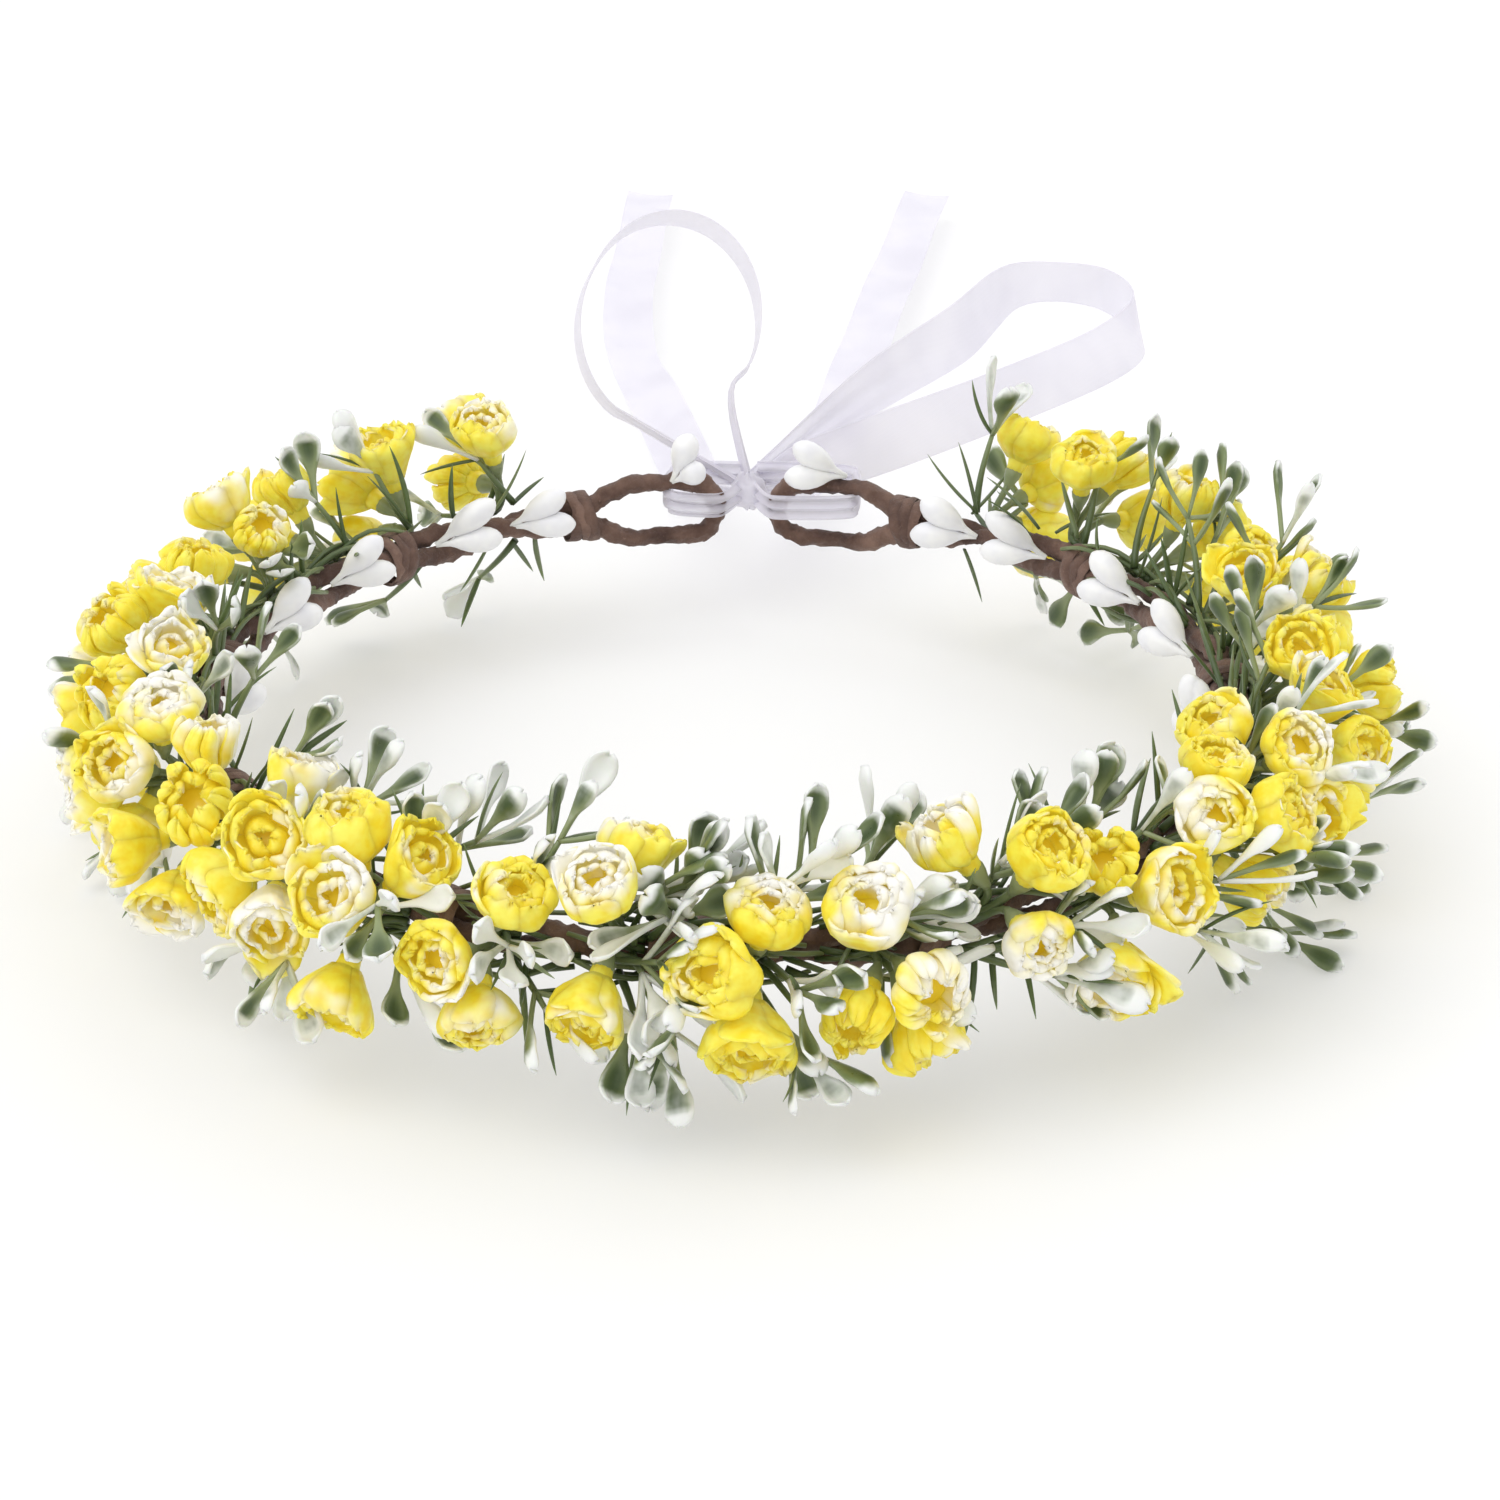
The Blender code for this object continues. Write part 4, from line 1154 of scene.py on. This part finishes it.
def camera():
    """The photo's view: slightly right of front and from above."""
    azimuth, elevation = math.radians(VIEW_AZIMUTH), math.radians(VIEW_ELEVATION)
    data = bpy.data.cameras.new("camera")
    data.lens = LENS
    level = Vector((-math.sin(azimuth), math.cos(azimuth), 0)) * math.cos(elevation)
    forward = level - Vector((0, 0, math.sin(elevation)))
    right = forward.cross(Vector((0, 0, 1))).normalized()
    up = right.cross(forward)
    target = CENTRE + right * TARGET_RIGHT - up * TARGET_DOWN
    obj = new_object("camera", data)
    obj.location = target - forward * VIEW_DISTANCE
    obj.rotation_euler = forward.to_track_quat("-Z", "Y").to_euler()
    bpy.context.scene.camera = obj


def studio():
    world = bpy.data.worlds.new("studio")
    world.use_nodes = True
    tree = world.node_tree
    background = tree.nodes["Background"]
    background.inputs["Color"].default_value = (1, 1, 1, 1)
    strength = tree.nodes.new("ShaderNodeMapRange")
    strength.inputs["To Min"].default_value = SKY_LIGHT
    strength.inputs["To Max"].default_value = SKY_SEEN
    tree.links.new(tree.nodes.new("ShaderNodeLightPath").outputs["Is Camera Ray"], strength.inputs["Value"])
    tree.links.new(strength.outputs[0], background.inputs["Strength"])
    bpy.context.scene.world = world
    bpy.context.scene.view_settings.view_transform = "Standard"
    soft_sun("key", (-0.45, -0.40, 0.90), 0.95, 60)
    soft_sun("rim", (0.55, 0.80, 0.80), 0.45, 80)


def crown():
    rng = random.Random(5)
    for side, name in ((-1, "left"), (1, "right")):
        vine(side, name)
        for number, turn in enumerate(WRAP_TURNS, 1):
            tape_wrap(f"wrap_{name}_{number}", side, turn, WRAP_LENGTH, WRAP_R, rng)
        for number in range(1, SPRIG_COUNT + 1):
            sprig(side, name, number)
        for number, turn in enumerate(PIP_TURNS, 1):
            pip_pair(side, name, number, turn)
        wire = frame["nodes"]["wire_core_" + name]
        wire.data.materials.clear()
        wire.data.materials.append(WIRE)
    tape_wrap("brow_wrap", 1, 0.0, BROW_WRAP_LENGTH, BROW_WRAP_R, rng)
    tails(rng)
    left_loop(rng)
    right_loop(rng)
    straps(rng)
    knot()


crown()
floor(min(CAD_BOX[0][2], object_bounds()[0][2]) - FLOOR_GAP)
studio()
camera()
